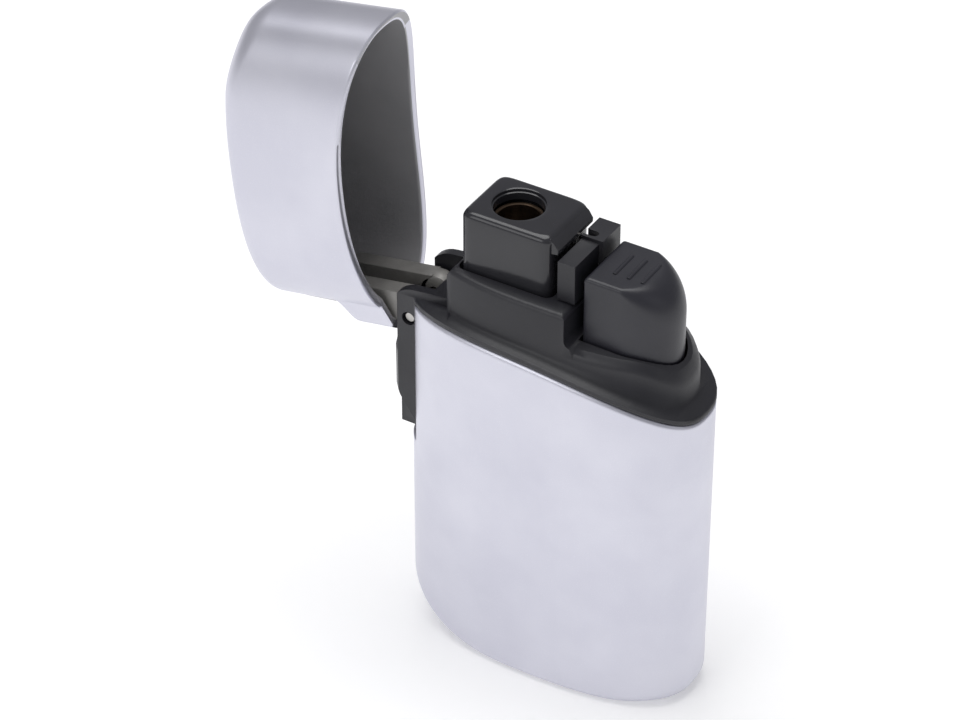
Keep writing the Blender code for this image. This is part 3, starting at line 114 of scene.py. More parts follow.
# %% Turn rows of points into a closed skin
def finish_mesh(name, points, faces, smooth=40.0):
    mesh = bpy.data.meshes.new(name)
    mesh.from_pydata(points.tolist(), [], faces)
    piece = bpy.data.objects.new(name, mesh)
    bpy.context.scene.collection.objects.link(piece)
    work = bmesh.new()
    work.from_mesh(mesh)
    bmesh.ops.remove_doubles(work, verts=work.verts, dist=1e-7)
    bmesh.ops.recalc_face_normals(work, faces=work.faces)
    work.to_mesh(mesh)
    work.free()
    mesh.shade_smooth()
    mesh.set_sharp_from_angle(angle=math.radians(smooth))
    return piece


def skin(name, rows, ends="caps", skip=None, smooth=40.0):
    """Quads between neighbouring rows; ends are closed by fans ("caps"), joined ("loop") or left ("open")."""
    rows = np.asarray(rows, float)
    levels, around = rows.shape[:2]
    spots = np.arange(levels * around).reshape(levels, around)
    lower = spots if ends == "loop" else spots[:-1]
    upper = np.roll(spots, -1, 0) if ends == "loop" else spots[1:]
    quads = np.stack([lower, np.roll(lower, -1, 1), np.roll(upper, -1, 1), upper], -1)
    if skip is not None:
        quads = quads[~skip]
    faces = quads.reshape(-1, 4).tolist()
    points = rows.reshape(-1, 3)
    if ends == "caps":
        middles = np.array([rows[0].mean(0), rows[-1].mean(0)])
        for row, middle in ((spots[0], len(points)), (spots[-1], len(points) + 1)):
            fan = np.stack([row, np.roll(row, -1), np.full(around, middle)], -1)
            faces += fan.tolist()
        points = np.vstack([points, middles])
    return finish_mesh(name, points, faces, smooth)


def prism(name, outline, low, high, round_edge):
    """Outline of (x, z) pairs carried straight along y, with its edges rounded by a Bevel."""
    x, z = np.array(outline).T
    count = len(x)
    rows = [np.stack([x, np.full(count, y), z], -1) for y in (low, high)]
    spots = np.arange(count)
    faces = np.stack([spots, np.roll(spots, -1), np.roll(spots, -1) + count, spots + count], -1).tolist()
    faces += [spots.tolist(), (spots + count).tolist()]
    piece = finish_mesh(name, np.vstack(rows), faces, 30.0)
    soften(piece, round_edge)
    return piece


def soften(piece, width, segments=3):
    bevel = piece.modifiers.new("edges", "BEVEL")
    bevel.width = width
    bevel.segments = segments
    bevel.limit_method = "ANGLE"
    bevel.angle_limit = math.radians(35)
    bevel.harden_normals = True


def arc(cx, cz, radius, start, end, steps):
    a = np.radians(np.linspace(start, end, steps + 1))
    return np.stack([cx + radius * np.cos(a), cz + radius * np.sin(a)], -1)


# %% [markdown]
# ## The lens-shaped plan
# Equal steps along the outline give even quads, so the outline is first sampled finely and then read
# again at chosen distances. Extra stations stand where a slot or a step needs a crisp side.


# %% Stations round the plan
def plan(stations):
    """Superellipse |x/a|^p + |y/b|^q = 1 read at distances along it from the hinge end."""
    fine = np.linspace(0, 1, 4001) ** 1.6
    t = np.concatenate([fine * 0.5, 1 - fine[::-1][1:] * 0.5]) * math.pi
    u = -np.cos(t)
    x = u * HALF
    y = -SIDE * np.clip(1 - np.abs(u) ** END_POWER, 0, 1) ** (1 / SIDE_POWER)
    x = np.concatenate([x, x[::-1][1:]])
    y = np.concatenate([y, -y[::-1][1:]])
    run = np.concatenate([[0], np.cumsum(np.hypot(np.diff(x), np.diff(y)))])
    s = np.asarray(stations) % 1 * run[-1]
    return np.stack([np.interp(s, run, x), np.interp(s, run, y)], -1)


def share_at(y):
    """Share of the way round at which the front side first reaches -y from the hinge end."""
    s = np.linspace(0, 0.2, 2001)
    return float(np.interp(y, -plan(s)[:, 1], s))


def spread(knots, counts):
    parts = [np.linspace(a, b, n, endpoint=False) for a, b, n in zip(knots, knots[1:], counts)]
    return np.concatenate(parts)


def moved_in(outline, inset):
    """The outline drawn towards the middle by an inset, which may change from point to point."""
    inset = np.broadcast_to(inset, len(outline))
    scale = np.stack([1 - inset / HALF, 1 - inset / SIDE], -1)
    return outline * scale


def level(outline, inset, z):
    flat = moved_in(outline, inset)
    return np.column_stack([flat, np.broadcast_to(z, len(flat))])


print("share of the outline at the slot's side:", round(share_at(4.8 * MM), 4))

# %% [markdown]
# ## The metal body
# The real body is a thin metal shell, pressed or cast, with a slot at its hinge end that the plastic
# hinge block fills. The outer face is made as one sheet and Solidify gives the wall its thickness, so
# the slot's sides close by themselves.


# %% Body shell
def make_body():
    """Rows: underside growing outwards, a quarter-round edge, then the wall up to the rim cubic."""
    side = share_at(4.8 * MM)
    around = spread([-side, side, 1 - side], [SLOT_STEPS, 260])
    outline = plan(around)
    x = outline[:, 0]
    radius = edge_radius(x, 1.2 * MM, 2.4 * MM)
    rows = []
    for q in np.linspace(0.04, 1, 16)[:-1]:
        flat = moved_in(outline, radius) * q
        rows.append(np.column_stack([flat, base_z(flat[:, 0] / (1 - radius / HALF))]))
    for a in np.radians(np.linspace(0, 90, 13)):
        rows.append(level(outline, radius * (1 - np.sin(a)), base_z(x) + radius * (1 - np.cos(a))))
    start = base_z(x) + radius
    slot_floor = 25.5 * MM
    for f in np.linspace(0, 1, 25)[1:]:
        rows.append(level(outline, 0, start + (slot_floor - start) * f))
    split = len(rows) - 1
    top = rim_z(x) - 0.1 * MM
    for f in np.linspace(0, 1, 25)[1:]:
        rows.append(level(outline, 0, slot_floor + (top - slot_floor) * f))
    skip = np.zeros((len(rows) - 1, len(outline)), bool)
    skip[split:, :SLOT_STEPS] = True
    body = skin("body_sheet", rows, "open", skip)
    floor = bmesh.new()
    floor.from_mesh(body.data)
    loops = [e for e in floor.edges if e.is_boundary and e.verts[0].co.z < 8 * MM]
    bmesh.ops.holes_fill(floor, edges=loops)
    bmesh.ops.recalc_face_normals(floor, faces=floor.faces)
    floor.to_mesh(body.data)
    floor.free()
    wall = body.modifiers.new("wall", "SOLIDIFY")
    wall.thickness = BODY_WALL
    wall.offset = -1
    body.name = "body_metal"
    return body


body = make_body()
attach(body, "body")
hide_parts("body_shell")
print("body sheet:", len(body.data.polygons), "faces")

# %% [markdown]
# ## The cap
# The cap repeats the body's plan and closes over the head. Over the hinge it carries a raised boss that
# fades into the wall by an S-shaped ramp. It is worked out shut, where its plan is the body's own, and
# then turned about the pin to where it stands open.


# %% Cap shell with its boss
def swung_open(points):
    """Turns points about the hinge pin, from the shut cap to the open one."""
    c, s = math.cos(OPEN_ANGLE), math.sin(OPEN_ANGLE)
    dx = points[..., 0] - PIN_X
    dz = points[..., 2] - PIN_Z
    return np.stack([PIN_X + dx * c - dz * s, points[..., 1], PIN_Z + dx * s + dz * c], -1)


def boss_proud(z):
    """How far the boss stands out at each height: full, then a smooth fall to nothing."""
    t = np.clip((z - 49.3 * MM) / (3.0 * MM), 0, 1)
    return 2.2 * MM * (1 - t * t * (3 - 2 * t))


def make_cap():
    """Rows: outer crown, rounded edge and wall down to the mouth, then the same back up inside."""
    inner, outer = share_at(4.2 * MM), share_at(4.5 * MM)
    around = spread([-outer, -inner, inner, outer, 1 - outer], [8, SLOT_STEPS, 8, 260])
    outline = plan(around)
    x, y = outline.T
    over_hinge = np.clip((4.5 * MM - np.abs(y)) / (0.3 * MM), 0, 1) * (x < 0)
    over_hinge = over_hinge**2 * (3 - 2 * over_hinge)
    outer_radius = edge_radius(x, 2.3 * MM, 4.4 * MM)
    mouth = rim_z(x) + FLANGE + 0.3 * MM
    mouth = mouth + (44.75 * MM - mouth) * over_hinge

    def side(shell, rise):
        radius = outer_radius - shell
        made = []
        for q in np.linspace(0.04, 1, 16)[:-1]:
            flat = moved_in(outline, shell + radius) * q
            at = flat[:, 0] / (1 - (shell + radius) / HALF)
            made.append(np.column_stack([flat, crown_z(at) - shell]))
        for a in np.radians(np.linspace(0, 90, 17)):
            inset = shell + radius * (1 - np.sin(a))
            made.append(level(outline, inset, crown_z(x) - shell - radius * (1 - np.cos(a))))
        top = crown_z(x) - shell - radius
        low = mouth if shell == 0 else mouth + (rim_z(x * (1 - CAP_WALL / HALF)) - rim_z(x))
        steps = np.linspace(0, 1, 41)[1:]
        for f in steps:
            made.append(level(outline, shell, top + (low - top) * f))
        made = np.array(made)
        made[..., 0] -= boss_proud(made[..., 2] + rise) * over_hinge
        return made

    outside = side(0, 0)
    inside = side(CAP_WALL, 1.1 * MM)
    rounding = 0.12 * MM
    lip_out = outside[-1].copy()
    outside[-1, :, 2] += rounding
    lip_out[:, :2] *= 1 - rounding / SIDE
    lip_in = inside[-1].copy()
    inside[-1, :, 2] += rounding
    lip_in[:, :2] *= 1 + rounding / SIDE
    rows = np.concatenate([outside, lip_out[None], lip_in[None], inside[::-1]])
    return skin("cap_metal", swung_open(rows), "caps", smooth=50.0)


cap = make_cap()
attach(cap, "cap")
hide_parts("cap_shell")
print("cap:", len(cap.data.polygons), "faces")


# %% Knuckles and arms of the cap
# Pairs: radius in mm, and how far across the knuckle from 0 to 1.
KNUCKLE_SECTION = (
    (0.86, 0.0),
    (1.9, 0.0),
    (2.2, 0.08),
    (2.3, 0.3),
    (2.3, 0.7),
    (2.2, 0.92),
    (1.9, 1),
    (0.86, 1),
)


def make_arms():
    """Two bars with a round end on the pin: a ring of rectangular section and a long prism."""
    for tag, ys in (("front", (-3.2 * MM, -1.1 * MM)), ("back", (1.1 * MM, 3.2 * MM))):
        a = np.linspace(0, 2 * math.pi, 49)[:-1]
        rings = []
        for r, t in KNUCKLE_SECTION:
            y = ys[0] + (ys[1] - ys[0]) * t
            x = PIN_X + r * MM * np.cos(a)
            rings.append(np.stack([x, np.full(len(a), y), PIN_Z + r * MM * np.sin(a)], -1))
        knuckle = skin(f"{tag}_knuckle", swung_open(np.array(rings)), "loop", smooth=35.0)
        bar = [
            (PIN_X + 2.3 * MM, PIN_Z),
            (PIN_X + 2.3 * MM, PIN_Z + 11 * MM),
            (PIN_X + 0.3 * MM, PIN_Z + 15 * MM),
            (PIN_X - 0.5 * MM, PIN_Z + 15 * MM),
            (PIN_X - 0.6 * MM, PIN_Z + 4.6 * MM),
            (PIN_X - 1.5 * MM, PIN_Z + 3.4 * MM),
            (PIN_X - 1.6 * MM, PIN_Z + 1.3 * MM),
            (PIN_X + 1.0 * MM, PIN_Z + 1.0 * MM),
        ]
        arm = prism(f"{tag}_arm", bar, *ys, round_edge=0.12 * MM)
        count = len(arm.data.vertices)
        co = np.zeros(count * 3, np.float32)
        arm.data.vertices.foreach_get("co", co)
        arm.data.vertices.foreach_set("co", swung_open(co.reshape(-1, 3)).astype(np.float32).ravel())
        for piece in (knuckle, arm):
            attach(piece, "cap")
            arms.append(piece)


arms = []
make_arms()
print("arms and knuckles:", len(arms), "pieces")

# %% [markdown]
# ## The plastic chassis
# Flange, walls, hinge block and tongue are one moulding. Its solid is right, but it is made of flat
# triangles. A copy with its points merged and its faces joined takes a smooth shading. The divider
# post's copy also gets a fine rounding along its edges; the chassis keeps its sharp ones.


# %% Softened copies of moulded nodes
def softened(node, width):
    """Copies a frame node's mesh, merges points, joins coplanar triangles, rounds edges if width > 0."""
    mesh = frame["nodes"][node].data.copy()
    mesh.name = f"{node}_moulding"
    work = bmesh.new()
    work.from_mesh(mesh)
    bmesh.ops.remove_doubles(work, verts=work.verts, dist=2e-6)
    bmesh.ops.dissolve_limit(
        work, angle_limit=math.radians(0.8), verts=work.verts, edges=work.edges, use_dissolve_boundaries=False
    )
    work.to_mesh(mesh)
    work.free()
    mesh.materials.clear()
    piece = bpy.data.objects.new(f"{node}_moulding", mesh)
    bpy.context.scene.collection.objects.link(piece)
    mesh.shade_smooth()
    mesh.set_sharp_from_angle(angle=math.radians(35))
    if width:
        soften(piece, width, 2)
    bodies = frame["record"]["behaviour"]["bodies"]
    body_name = next(name for name, nodes in bodies.items() if node in nodes)
    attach(piece, body_name)
    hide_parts(node)
    return piece


chassis = softened("chassis", 0.0)
divider = softened("divider_post", 0.1 * MM)
print("mouldings:", chassis.name, divider.name)

# %% [markdown]
# ## The hood over the burner
# A gloss black cover with a round flame hole. Seen from the hole's middle, every direction meets the
# outline once, so one angle runs round both the rectangle and the circle, and the rows blend between.


# %% Hood
def box_outline(angle, cx, xs, half, power):
    """Point of a rounded rectangle met from (cx, 0) at each angle: r = (|c/a|^p + |s/b|^p)^(-1/p)."""
    c, s = np.cos(angle), np.sin(angle)
    reach_x = np.where(c > 0, xs[1] - cx, cx - xs[0])
    radius = (np.abs(c / reach_x) ** power + np.abs(s / half) ** power) ** (-1 / power)
    return np.stack([cx + radius * c, radius * s], -1)


def make_hood():
    """Rows: outer wall up, rounded top edge, in to the flame hole, down its step, and back inside."""
    xs, half = (-10.6 * MM, 0.75 * MM), 4.5 * MM
    top, low = 58.9 * MM, 49.6 * MM
    angle = np.linspace(0, 2 * math.pi, 241)[:-1]

    def outer(inset, z):
        at = box_outline(angle, FLAME_X, (xs[0] + inset, xs[1] - inset), half - inset, 9.0)
        return np.column_stack([at, np.full(len(angle), z)])

    def round_hole(r, z):
        return np.column_stack([FLAME_X + r * np.cos(angle), r * np.sin(angle), np.full(len(angle), z)])

    rows = [outer(0, z) for z in np.linspace(low, top - 0.8 * MM, 10)]
    for a in np.radians(np.linspace(10, 90, 9)):
        rows.append(outer(0.8 * MM * (1 - np.cos(a)), top - 0.8 * MM * (1 - np.sin(a))))
    edge, hole = rows[-1], round_hole(3.12 * MM, top)
    rows += [edge + (hole - edge) * f for f in np.linspace(0, 1, 8)[1:]]
    rows += [round_hole(3.03 * MM, top - 0.06 * MM), round_hole(3.0 * MM, top - 0.4 * MM)]
    rows += [round_hole(2.86 * MM, top - 0.46 * MM), round_hole(2.84 * MM, top - 1.3 * MM)]
    rows += [outer(1.6 * MM, top - 1.3 * MM), outer(1.0 * MM, top - 2.0 * MM), outer(1.0 * MM, low)]
    return skin("burner_hood", rows, "loop", smooth=35.0)


hood = make_hood()
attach(hood, "body")
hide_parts("nozzle_hood")
lip_outline = [
    (0.3 * MM, 58.75 * MM),
    (0.3 * MM, 56.7 * MM),
    (1.4 * MM, 56.9 * MM),
    (1.42 * MM, 57.5 * MM),
    (0.9 * MM, 58.3 * MM),
]
lip = prism("hood_eave", lip_outline, -3.8 * MM, 3.8 * MM, round_edge=0.15 * MM)
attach(lip, "body")
print("hood:", len(hood.data.polygons), "faces")

# %% [markdown]
# ## The button
# A D-shaped thumb piece that slides down inside the walls. Its flat top turns over to the nose in an
# ever larger radius, so that the thumb finds its front edge.


# %% Button
def button_outline(count):
    """Flat back, straight sides and a half-ellipse nose, front side first."""
    back, start, end, half = 4.85 * MM, 9.3 * MM, 14.7 * MM, 4.35 * MM
    t = np.linspace(-90, 90, count)
    nose = np.stack([start + (end - start) * np.cos(np.radians(t)), half * np.sin(np.radians(t))], -1)
    side = np.linspace(back + 0.3 * MM, start, 14)[:-1]
    corner = arc(back + 0.3 * MM, -half + 0.3 * MM, 0.3 * MM, 180, 270, 5)[:-1]
    front = np.stack([side, np.full(13, -half)], -1)
    rear = np.linspace(-half + 0.3 * MM, 0, 12)[1:]
    half_loop = np.vstack([np.stack([np.full(11, back), rear[::-1]], -1), corner, front])
    upper = half_loop[::-1] * [1, -1]
    return np.vstack([half_loop, nose, upper[:-1]])


def make_button():
    """Rows: skirt, then an edge whose inset and drop grow towards the nose, then the flat top."""
    outline = button_outline(61)
    x, y = outline.T
    start, reach, half = 9.3 * MM, 5.4 * MM, 4.35 * MM
    t = np.clip((x - start) / reach, 0, 1)
    across = 0.5 * MM + 3.1 * MM * t
    deep = 0.5 * MM + 4.3 * MM * t
    top, low = 55.6 * MM, 39.9 * MM

    def at(turn, z=None, shrink=0.0):
        a = math.radians(turn)
        inset = across * (1 - math.sin(a)) + shrink
        drop = deep * (1 - math.cos(a))
        px = np.where(x > start, start + (x - start) * (1 - inset / reach), x)
        px = np.where(x < start, start + (x - start) * (1 - inset / (start - 4.85 * MM)), px)
        py = y * (1 - inset / half)
        return np.column_stack([px, py, top - drop if z is None else np.full(len(x), z)])

    rows = [at(90, z) for z in np.linspace(low, 50.0 * MM, 6)]
    rows += [at(turn) for turn in np.linspace(90, 0, 19)]
    flat = rows[-1]
    middle = np.array([8.3 * MM, 0, top])
    rows += [middle + (flat - middle) * f for f in np.linspace(1, 0.08, 8)[1:]]
    inside = [at(90, z, 1.0 * MM) for z in (low, top - 5.8 * MM)]
    hollow = np.array([8.3 * MM, 0, top - 5.8 * MM])
    inside.append(hollow + (inside[-1] - hollow) * 0.08)
    return skin("thumb_button", np.concatenate([np.array(inside)[::-1], rows]), "caps", smooth=45.0)


button = make_button()
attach(button, "button")
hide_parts("button")
ridges = []
for k in range(3):
    x0 = (7.05 + 1.7 * k) * MM
    ridge_outline = arc(x0 + 0.27 * MM, 55.5 * MM, 0.27 * MM, 0, 180, 10)
    ridges.append(prism(f"grip_ridge_{k + 1}", ridge_outline, -2.0 * MM, 2.0 * MM, round_edge=0.05 * MM))
tab = prism(
    "button_tab",
    [(5.0 * MM, 37.5 * MM), (5.85 * MM, 37.5 * MM), (5.85 * MM, 41.9 * MM), (5.0 * MM, 41.9 * MM)],
    -1.6 * MM,
    1.6 * MM,
    round_edge=0.1 * MM,
)
for piece in (*ridges, tab):
    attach(piece, "button")
print("button:", len(button.data.polygons), "faces and", len(ridges), "ridges")

# %% [markdown]
# ## Pin and flame tube
# Small round parts catch the light, so they get more sides than the frame has.


# %% Round parts
def turned(name, profile, cx, cy, body_name, *nodes, steps=64, ends="caps", axis="z"):
    """Profile of (radius, height) pairs turned about a line parallel to an axis."""
    a = np.linspace(0, 2 * math.pi, steps + 1)[:-1]
    rows = []
    for r, h in profile:
        c, s, t = r * np.cos(a), r * np.sin(a), np.full(steps, h)
        rows.append(np.stack([cx + c, cy + s, t], -1) if axis == "z" else np.stack([cx + c, t, cy + s], -1))
    piece = skin(name, rows, ends, smooth=35.0)
    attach(piece, body_name)
    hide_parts(*nodes)
    return piece


pin_profile = [
    (0.3 * MM, -4.25 * MM),
    (0.55 * MM, -4.25 * MM),
    (0.65 * MM, -4.15 * MM),
    (0.65 * MM, 4.15 * MM),
    (0.55 * MM, 4.25 * MM),
    (0.3 * MM, 4.25 * MM),
]
pin = turned("pivot_pin", pin_profile, PIN_X, PIN_Z, "body", "hinge_pin", axis="y")
tube_low, tube_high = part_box("flame_tube")
TUBE_R = (tube_high.x - tube_low.x) / 2
tube_profile = [
    (TUBE_R, tube_low.z),
    (TUBE_R, tube_high.z - 0.1 * MM),
    (TUBE_R - 0.1 * MM, tube_high.z),
    (TUBE_R - 0.35 * MM, tube_high.z),
    (TUBE_R - 0.45 * MM, tube_high.z - 0.1 * MM),
    (TUBE_R - 0.45 * MM, tube_low.z),
]
tube = turned("flame_pipe", tube_profile, FLAME_X, 0, "body", "flame_tube", ends="loop")
print("pin and flame pipe turned, pipe radius in mm:", round(TUBE_R / MM, 2))

# %% [markdown]
# ## Shader maths
# Node trees are easier to read as sums. One small class wraps a socket, and the usual signs add the
# Math nodes.


# %% A socket that can be added and multiplied
class Term:
    """A value in a node tree; arithmetic on it adds Math nodes."""

    def __init__(self, tree, socket):
        self.tree = tree
        self.socket = socket

    def node(self, kind, settings=None, **inputs):
        """Adds a node, applies its settings first, then fills its sockets with values or links."""
        made = self.tree.nodes.new(kind)
        for key, value in (settings or {}).items():
            setattr(made, key, value)
        for key, value in inputs.items():
            name = key.replace("_", " ").strip()
            spot = made.inputs[int(name)] if name.isdigit() else made.inputs[name]
            if isinstance(value, Term):
                self.tree.links.new(value.socket, spot)
            else:
                spot.default_value = value
        return Term(self.tree, made.outputs[0])

    def maths(self, operation, other):
        return self.node("ShaderNodeMath", {"operation": operation}, _0=self, _1=other)

    def __add__(self, other):
        return self.maths("ADD", other)

    __radd__ = __add__

    def __mul__(self, other):
        return self.maths("MULTIPLY", other)

    __rmul__ = __mul__

    def __sub__(self, other):
        return self.maths("SUBTRACT", other)

    def ramp(self, low, high):
        """0 below low, 1 above high, straight between."""
        return self.node("ShaderNodeMapRange", {"clamp": True}, From_Min=low, From_Max=high, Value=self)

    def mix(self, first, second):
        """Colour first where this is 0 and second where it is 1."""
        made = self.tree.nodes.new("ShaderNodeMix")
        made.data_type = "RGBA"
        self.tree.links.new(self.socket, made.inputs["Factor"])
        for spot, value in ((made.inputs[6], first), (made.inputs[7], second)):
            if isinstance(value, Term):
                self.tree.links.new(value.socket, spot)
            else:
                spot.default_value = (*value, 1.0)
        return Term(self.tree, made.outputs[2])


# %% Start a material
def start(name, colour, roughness, metallic=0.0, **constants):
    """A material with its constants set, and a Term that stands for the object's own coordinates."""
    made = bpy.data.materials.new(name)
    made.use_nodes = True
    tree = made.node_tree
    shader = tree.nodes["Principled BSDF"]
    shader.inputs["Base Color"].default_value = (*colour, 1.0)
    shader.inputs["Roughness"].default_value = roughness
    shader.inputs["Metallic"].default_value = metallic
    for key, value in constants.items():
        shader.inputs[key.replace("_", " ")].default_value = value
    place = tree.nodes.new("ShaderNodeTexCoord")
    return made, shader, Term(tree, place.outputs["Object"])


def noise(place, scale, detail=3.0, stretch=(1, 1, 1)):
    """Noise on the object's coordinates; scale is in features per metre."""
    turned_place = place.node("ShaderNodeMapping", Vector=place, Scale=stretch)
    return place.node("ShaderNodeTexNoise", Vector=turned_place, Scale=scale, Detail=detail)


def drive(shader, place, colour=None, roughness=None, bump=None, strength=0.2, distance=0.00005):
    tree = place.tree
    if colour is not None:
        tree.links.new(colour.socket, shader.inputs["Base Color"])
    if roughness is not None:
        tree.links.new(roughness.socket, shader.inputs["Roughness"])
    if bump is not None:
        raised = place.node("ShaderNodeBump", Height=bump, Strength=strength, Distance=distance)
        tree.links.new(raised.socket, shader.inputs["Normal"])


# %% [markdown]
# ## Finishes
# Satin lacquer over metal has a very fine grain, a faint drift of tone and a scatter of bright flecks.
# Moulded plastic has a spark-eroded texture; the hood is polished instead.


# %% Satin silver lacquer, a darker grey for the cap's inside, and the knuckles' bare cast metal
def satin_silver():
    made, shader, place = start("satin_silver_lacquer", (0.66, 0.66, 0.74), 0.34, 0.85, IOR=1.5)
    grain = noise(place, 5200, 2)
    drift = noise(place, 90, 3)
    flecks = noise(place, 14000, 1).ramp(0.62, 0.75)
    tone = drift.ramp(0.35, 0.65).mix((0.63, 0.63, 0.71), (0.69, 0.69, 0.765))
    tone = (flecks * 0.35).mix(tone, (0.86, 0.86, 0.9))
    drive(shader, place, tone, 0.30 + 0.09 * grain + 0.05 * drift, grain, 0.12, 0.00002)
    return made


def dull_metal(name, dark, light, rough, strength):
    made, shader, place = start(name, light, rough, 0.3)
    grain = noise(place, 2600, 4)
    stain = noise(place, 160, 3)
    tone = stain.ramp(0.25, 0.75).mix(dark, light)
    drive(shader, place, tone, rough + 0.16 * grain, grain, strength, 0.00006)
    return made


# %% Plastics
def moulded(name, dark, light, rough, scale, strength):
    made, shader, place = start(name, dark, rough)
    texture = noise(place, scale, 2)
    drift = noise(place, 120, 3)
    tone = drift.ramp(0.3, 0.7).mix(dark, light)
    drive(shader, place, tone, rough + 0.12 * (texture - 0.5), texture, strength, 0.00004)
    return made


# %% Metals
def worked_metal(name, dark, light, rough, stretch):
    made, shader, place = start(name, light, rough, 1.0)
    lines = noise(place, 1800, 3, stretch)
    stain = noise(place, 400, 3)
    tone = stain.ramp(0.3, 0.75).mix(dark, light)
    drive(shader, place, tone, rough + 0.18 * lines, lines, 0.15, 0.00003)
    return made


LOOKS = {
    "satin": satin_silver(),
    # The cap's inner faces get a darker, less metallic grey than its outside.
    "dull_metal": dull_metal("darker_cap_inside", (0.41, 0.41, 0.42), (0.47, 0.465, 0.475), 0.4, 0.2),
    "knuckle": dull_metal("bare_casting", (0.20, 0.195, 0.185), (0.40, 0.39, 0.37), 0.34, 0.7),
    "black": moulded("black_moulding", (0.013, 0.013, 0.017), (0.021, 0.021, 0.026), 0.42, 3600, 0.25),
    "gloss": moulded("gloss_black_moulding", (0.022, 0.022, 0.026), (0.029, 0.029, 0.034), 0.16, 1500, 0.03),
    "button": moulded("button_moulding", (0.016, 0.016, 0.022), (0.026, 0.026, 0.034), 0.36, 4200, 0.16),
    "steel": worked_metal("ground_steel", (0.42, 0.41, 0.40), (0.62, 0.60, 0.57), 0.26, (1, 8, 1)),
    "brass": worked_metal("turned_brass", (0.50, 0.36, 0.15), (0.72, 0.55, 0.27), 0.28, (1, 1, 12)),
    "burnt": worked_metal("heat_stained_pipe", (0.035, 0.026, 0.02), (0.16, 0.11, 0.075), 0.35, (1, 1, 5)),
    "tank": moulded("smoky_tank_nylon", (0.16, 0.165, 0.18), (0.2, 0.205, 0.22), 0.3, 1800, 0.05),
    "white": moulded("natural_acetal", (0.68, 0.68, 0.64), (0.76, 0.755, 0.72), 0.42, 2200, 0.05),
    "ceramic": moulded("fired_ceramic", (0.72, 0.70, 0.64), (0.82, 0.8, 0.75), 0.5, 3200, 0.15),
    "rubber": moulded("nitrile_rubber", (0.02, 0.02, 0.02), (0.032, 0.032, 0.032), 0.75, 2600, 0.2),
}
print("finishes:", ", ".join(sorted(LOOKS)))


# %% Put the finishes on
def dress(piece, *looks):
    piece.data.materials.clear()
    for look in looks:
        piece.data.materials.append(LOOKS[look])


dress(body, "satin")
dress(cap, "satin", "dull_metal")
dress(chassis, "black")
dress(divider, "black")
dress(hood, "gloss")
dress(lip, "gloss")
dress(button, "button")
dress(tab, "button")
dress(pin, "steel")
dress(tube, "burnt")
for piece in ridges:
    dress(piece, "button")
for piece in arms:
    dress(piece, "knuckle")

# Faces of the cap that look into its hollow take the second material, the darker grey.
faces = len(cap.data.polygons)
inner = np.zeros(faces, np.int32)
centres = np.zeros(faces * 3)
cap.data.polygons.foreach_get("center", centres)
normals = np.zeros(faces * 3)
cap.data.polygons.foreach_get("normal", normals)
hollow = np.array([-29.0 * MM, 0, 57.0 * MM])
centres, normals = centres.reshape(-1, 3), normals.reshape(-1, 3)
inner[((hollow - centres) * normals).sum(1) > 0] = 1
cap.data.polygons.foreach_set("material_index", inner)

NODE_LOOKS = {
    "cap_leaf_spring": "steel",
    "mixer_tube": "brass",
    "flame_plate": "steel",
    "gas_jet": "brass",
    "electrode_wire": "steel",
    "piezo_sleeve": "white",
    "piezo_crystal": "ceramic",
    "piezo_anvil": "steel",
    "piezo_hammer": "steel",
    "piezo_impact_spring": "steel",
    "piezo_plunger": "white",
    "piezo_return_spring": "steel",
    "piezo_contact": "brass",
    "ignition_lead": "rubber",
    "fuel_tank": "tank",
    "tank_lid": "tank",
    "tank_gasket": "rubber",
    "main_valve_body": "brass",
    "main_valve_seal": "rubber",
    "main_valve_stem": "brass",
    "main_valve_spring": "steel",
    "gas_hose": "rubber",
    "gas_lever": "white",
    "lever_pin": "steel",
    "fill_valve_body": "brass",
    "fill_valve_seal": "rubber",
    "fill_valve_stem": "steel",
    "fill_valve_spring": "steel",
    "flame_adjuster": "brass",
    "adjuster_seal": "rubber",
    "dip_tube": "brass",
}
for node, look in NODE_LOOKS.items():
    slots = frame["nodes"][node].material_slots
    for one in slots:
        one.material = LOOKS[look]
print("frame nodes with a finish:", len(NODE_LOOKS))

# %% [markdown]
# ## Studio
# A pale floor, one large soft light overhead, a softer one in front and a weak one from the side.


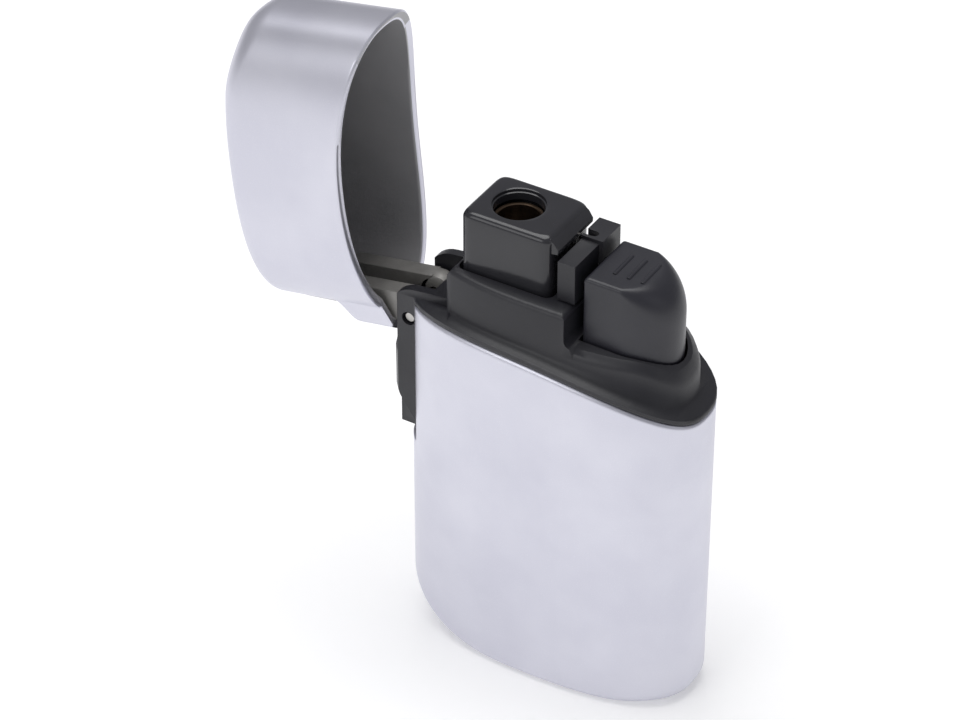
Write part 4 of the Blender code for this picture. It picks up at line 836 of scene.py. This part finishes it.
# %% Floor, lights and camera
def make_floor():
    reach = 2.0
    points = np.array([(-reach, -reach, 0), (reach, -reach, 0), (reach, reach, 0), (-reach, reach, 0)])
    floor = finish_mesh("studio_floor", points - [0, 0, 0.00002], [(0, 1, 2, 3)])
    made, shader, place = start("pale_paper", (0.92, 0.92, 0.92), 0.9)
    shader.inputs["Emission Color"].default_value = (1, 1, 1, 1)
    shader.inputs["Emission Strength"].default_value = 0.25
    fibre = noise(place, 900, 3)
    drive(shader, place, fibre.ramp(0.3, 0.7).mix((0.91, 0.91, 0.91), (0.93, 0.93, 0.93)))
    floor.data.materials.append(made)


def soft_light(name, place, aim, size, power, colour=(1, 1, 1)):
    lamp = bpy.data.lights.new(name, "AREA")
    lamp.shape = "RECTANGLE"
    lamp.size, lamp.size_y = size
    lamp.energy = power
    lamp.color = colour
    made = bpy.data.objects.new(name, lamp)
    bpy.context.scene.collection.objects.link(made)
    made.location = place
    toward = np.array(aim, float) - np.array(place, float)
    made.rotation_euler = Vector(toward).to_track_quat("-Z", "Y").to_euler()


make_floor()
soft_light("overhead", (-0.12, 0.05, 0.75), (0, 0, 0), (0.6, 0.6), 3.8)
soft_light("front_fill", (-0.25, -0.7, 0.45), (0, 0, 0.03), (0.5, 0.4), 1.2)
soft_light("right_fill", (0.75, -0.1, 0.4), (0, 0, 0.03), (0.35, 0.4), 0.15, (0.95, 0.97, 1.0))

world = bpy.data.worlds.new("studio")
world.use_nodes = True
world.node_tree.nodes["Background"].inputs["Color"].default_value = (0.9, 0.9, 0.94, 1)
world.node_tree.nodes["Background"].inputs["Strength"].default_value = 0.33
bpy.context.scene.world = world
bpy.context.scene.view_settings.view_transform = "Standard"

AZIMUTH = math.radians(31.21)
ELEVATION = math.radians(36.67)
right = np.array([math.cos(AZIMUTH), math.sin(AZIMUTH), 0])
back = np.array(
    [
        math.sin(AZIMUTH) * math.cos(ELEVATION),
        -math.cos(AZIMUTH) * math.cos(ELEVATION),
        math.sin(ELEVATION),
    ]
)
up = np.cross(back, right)
eye = bpy.data.cameras.new("camera")
eye.lens = 141.2
eye.sensor_width = 36
camera = bpy.data.objects.new("camera", eye)
bpy.context.scene.collection.objects.link(camera)
pose = np.eye(4)
pose[:3, 0], pose[:3, 1], pose[:3, 2] = right, up, back
pose[:3, 3] = (0.16498, -0.28991, 0.28836)
camera.matrix_world = Matrix(pose.tolist())
bpy.context.scene.camera = camera
print("camera", [round(v, 3) for v in camera.location])

# %% End of the scene
print("scene built")
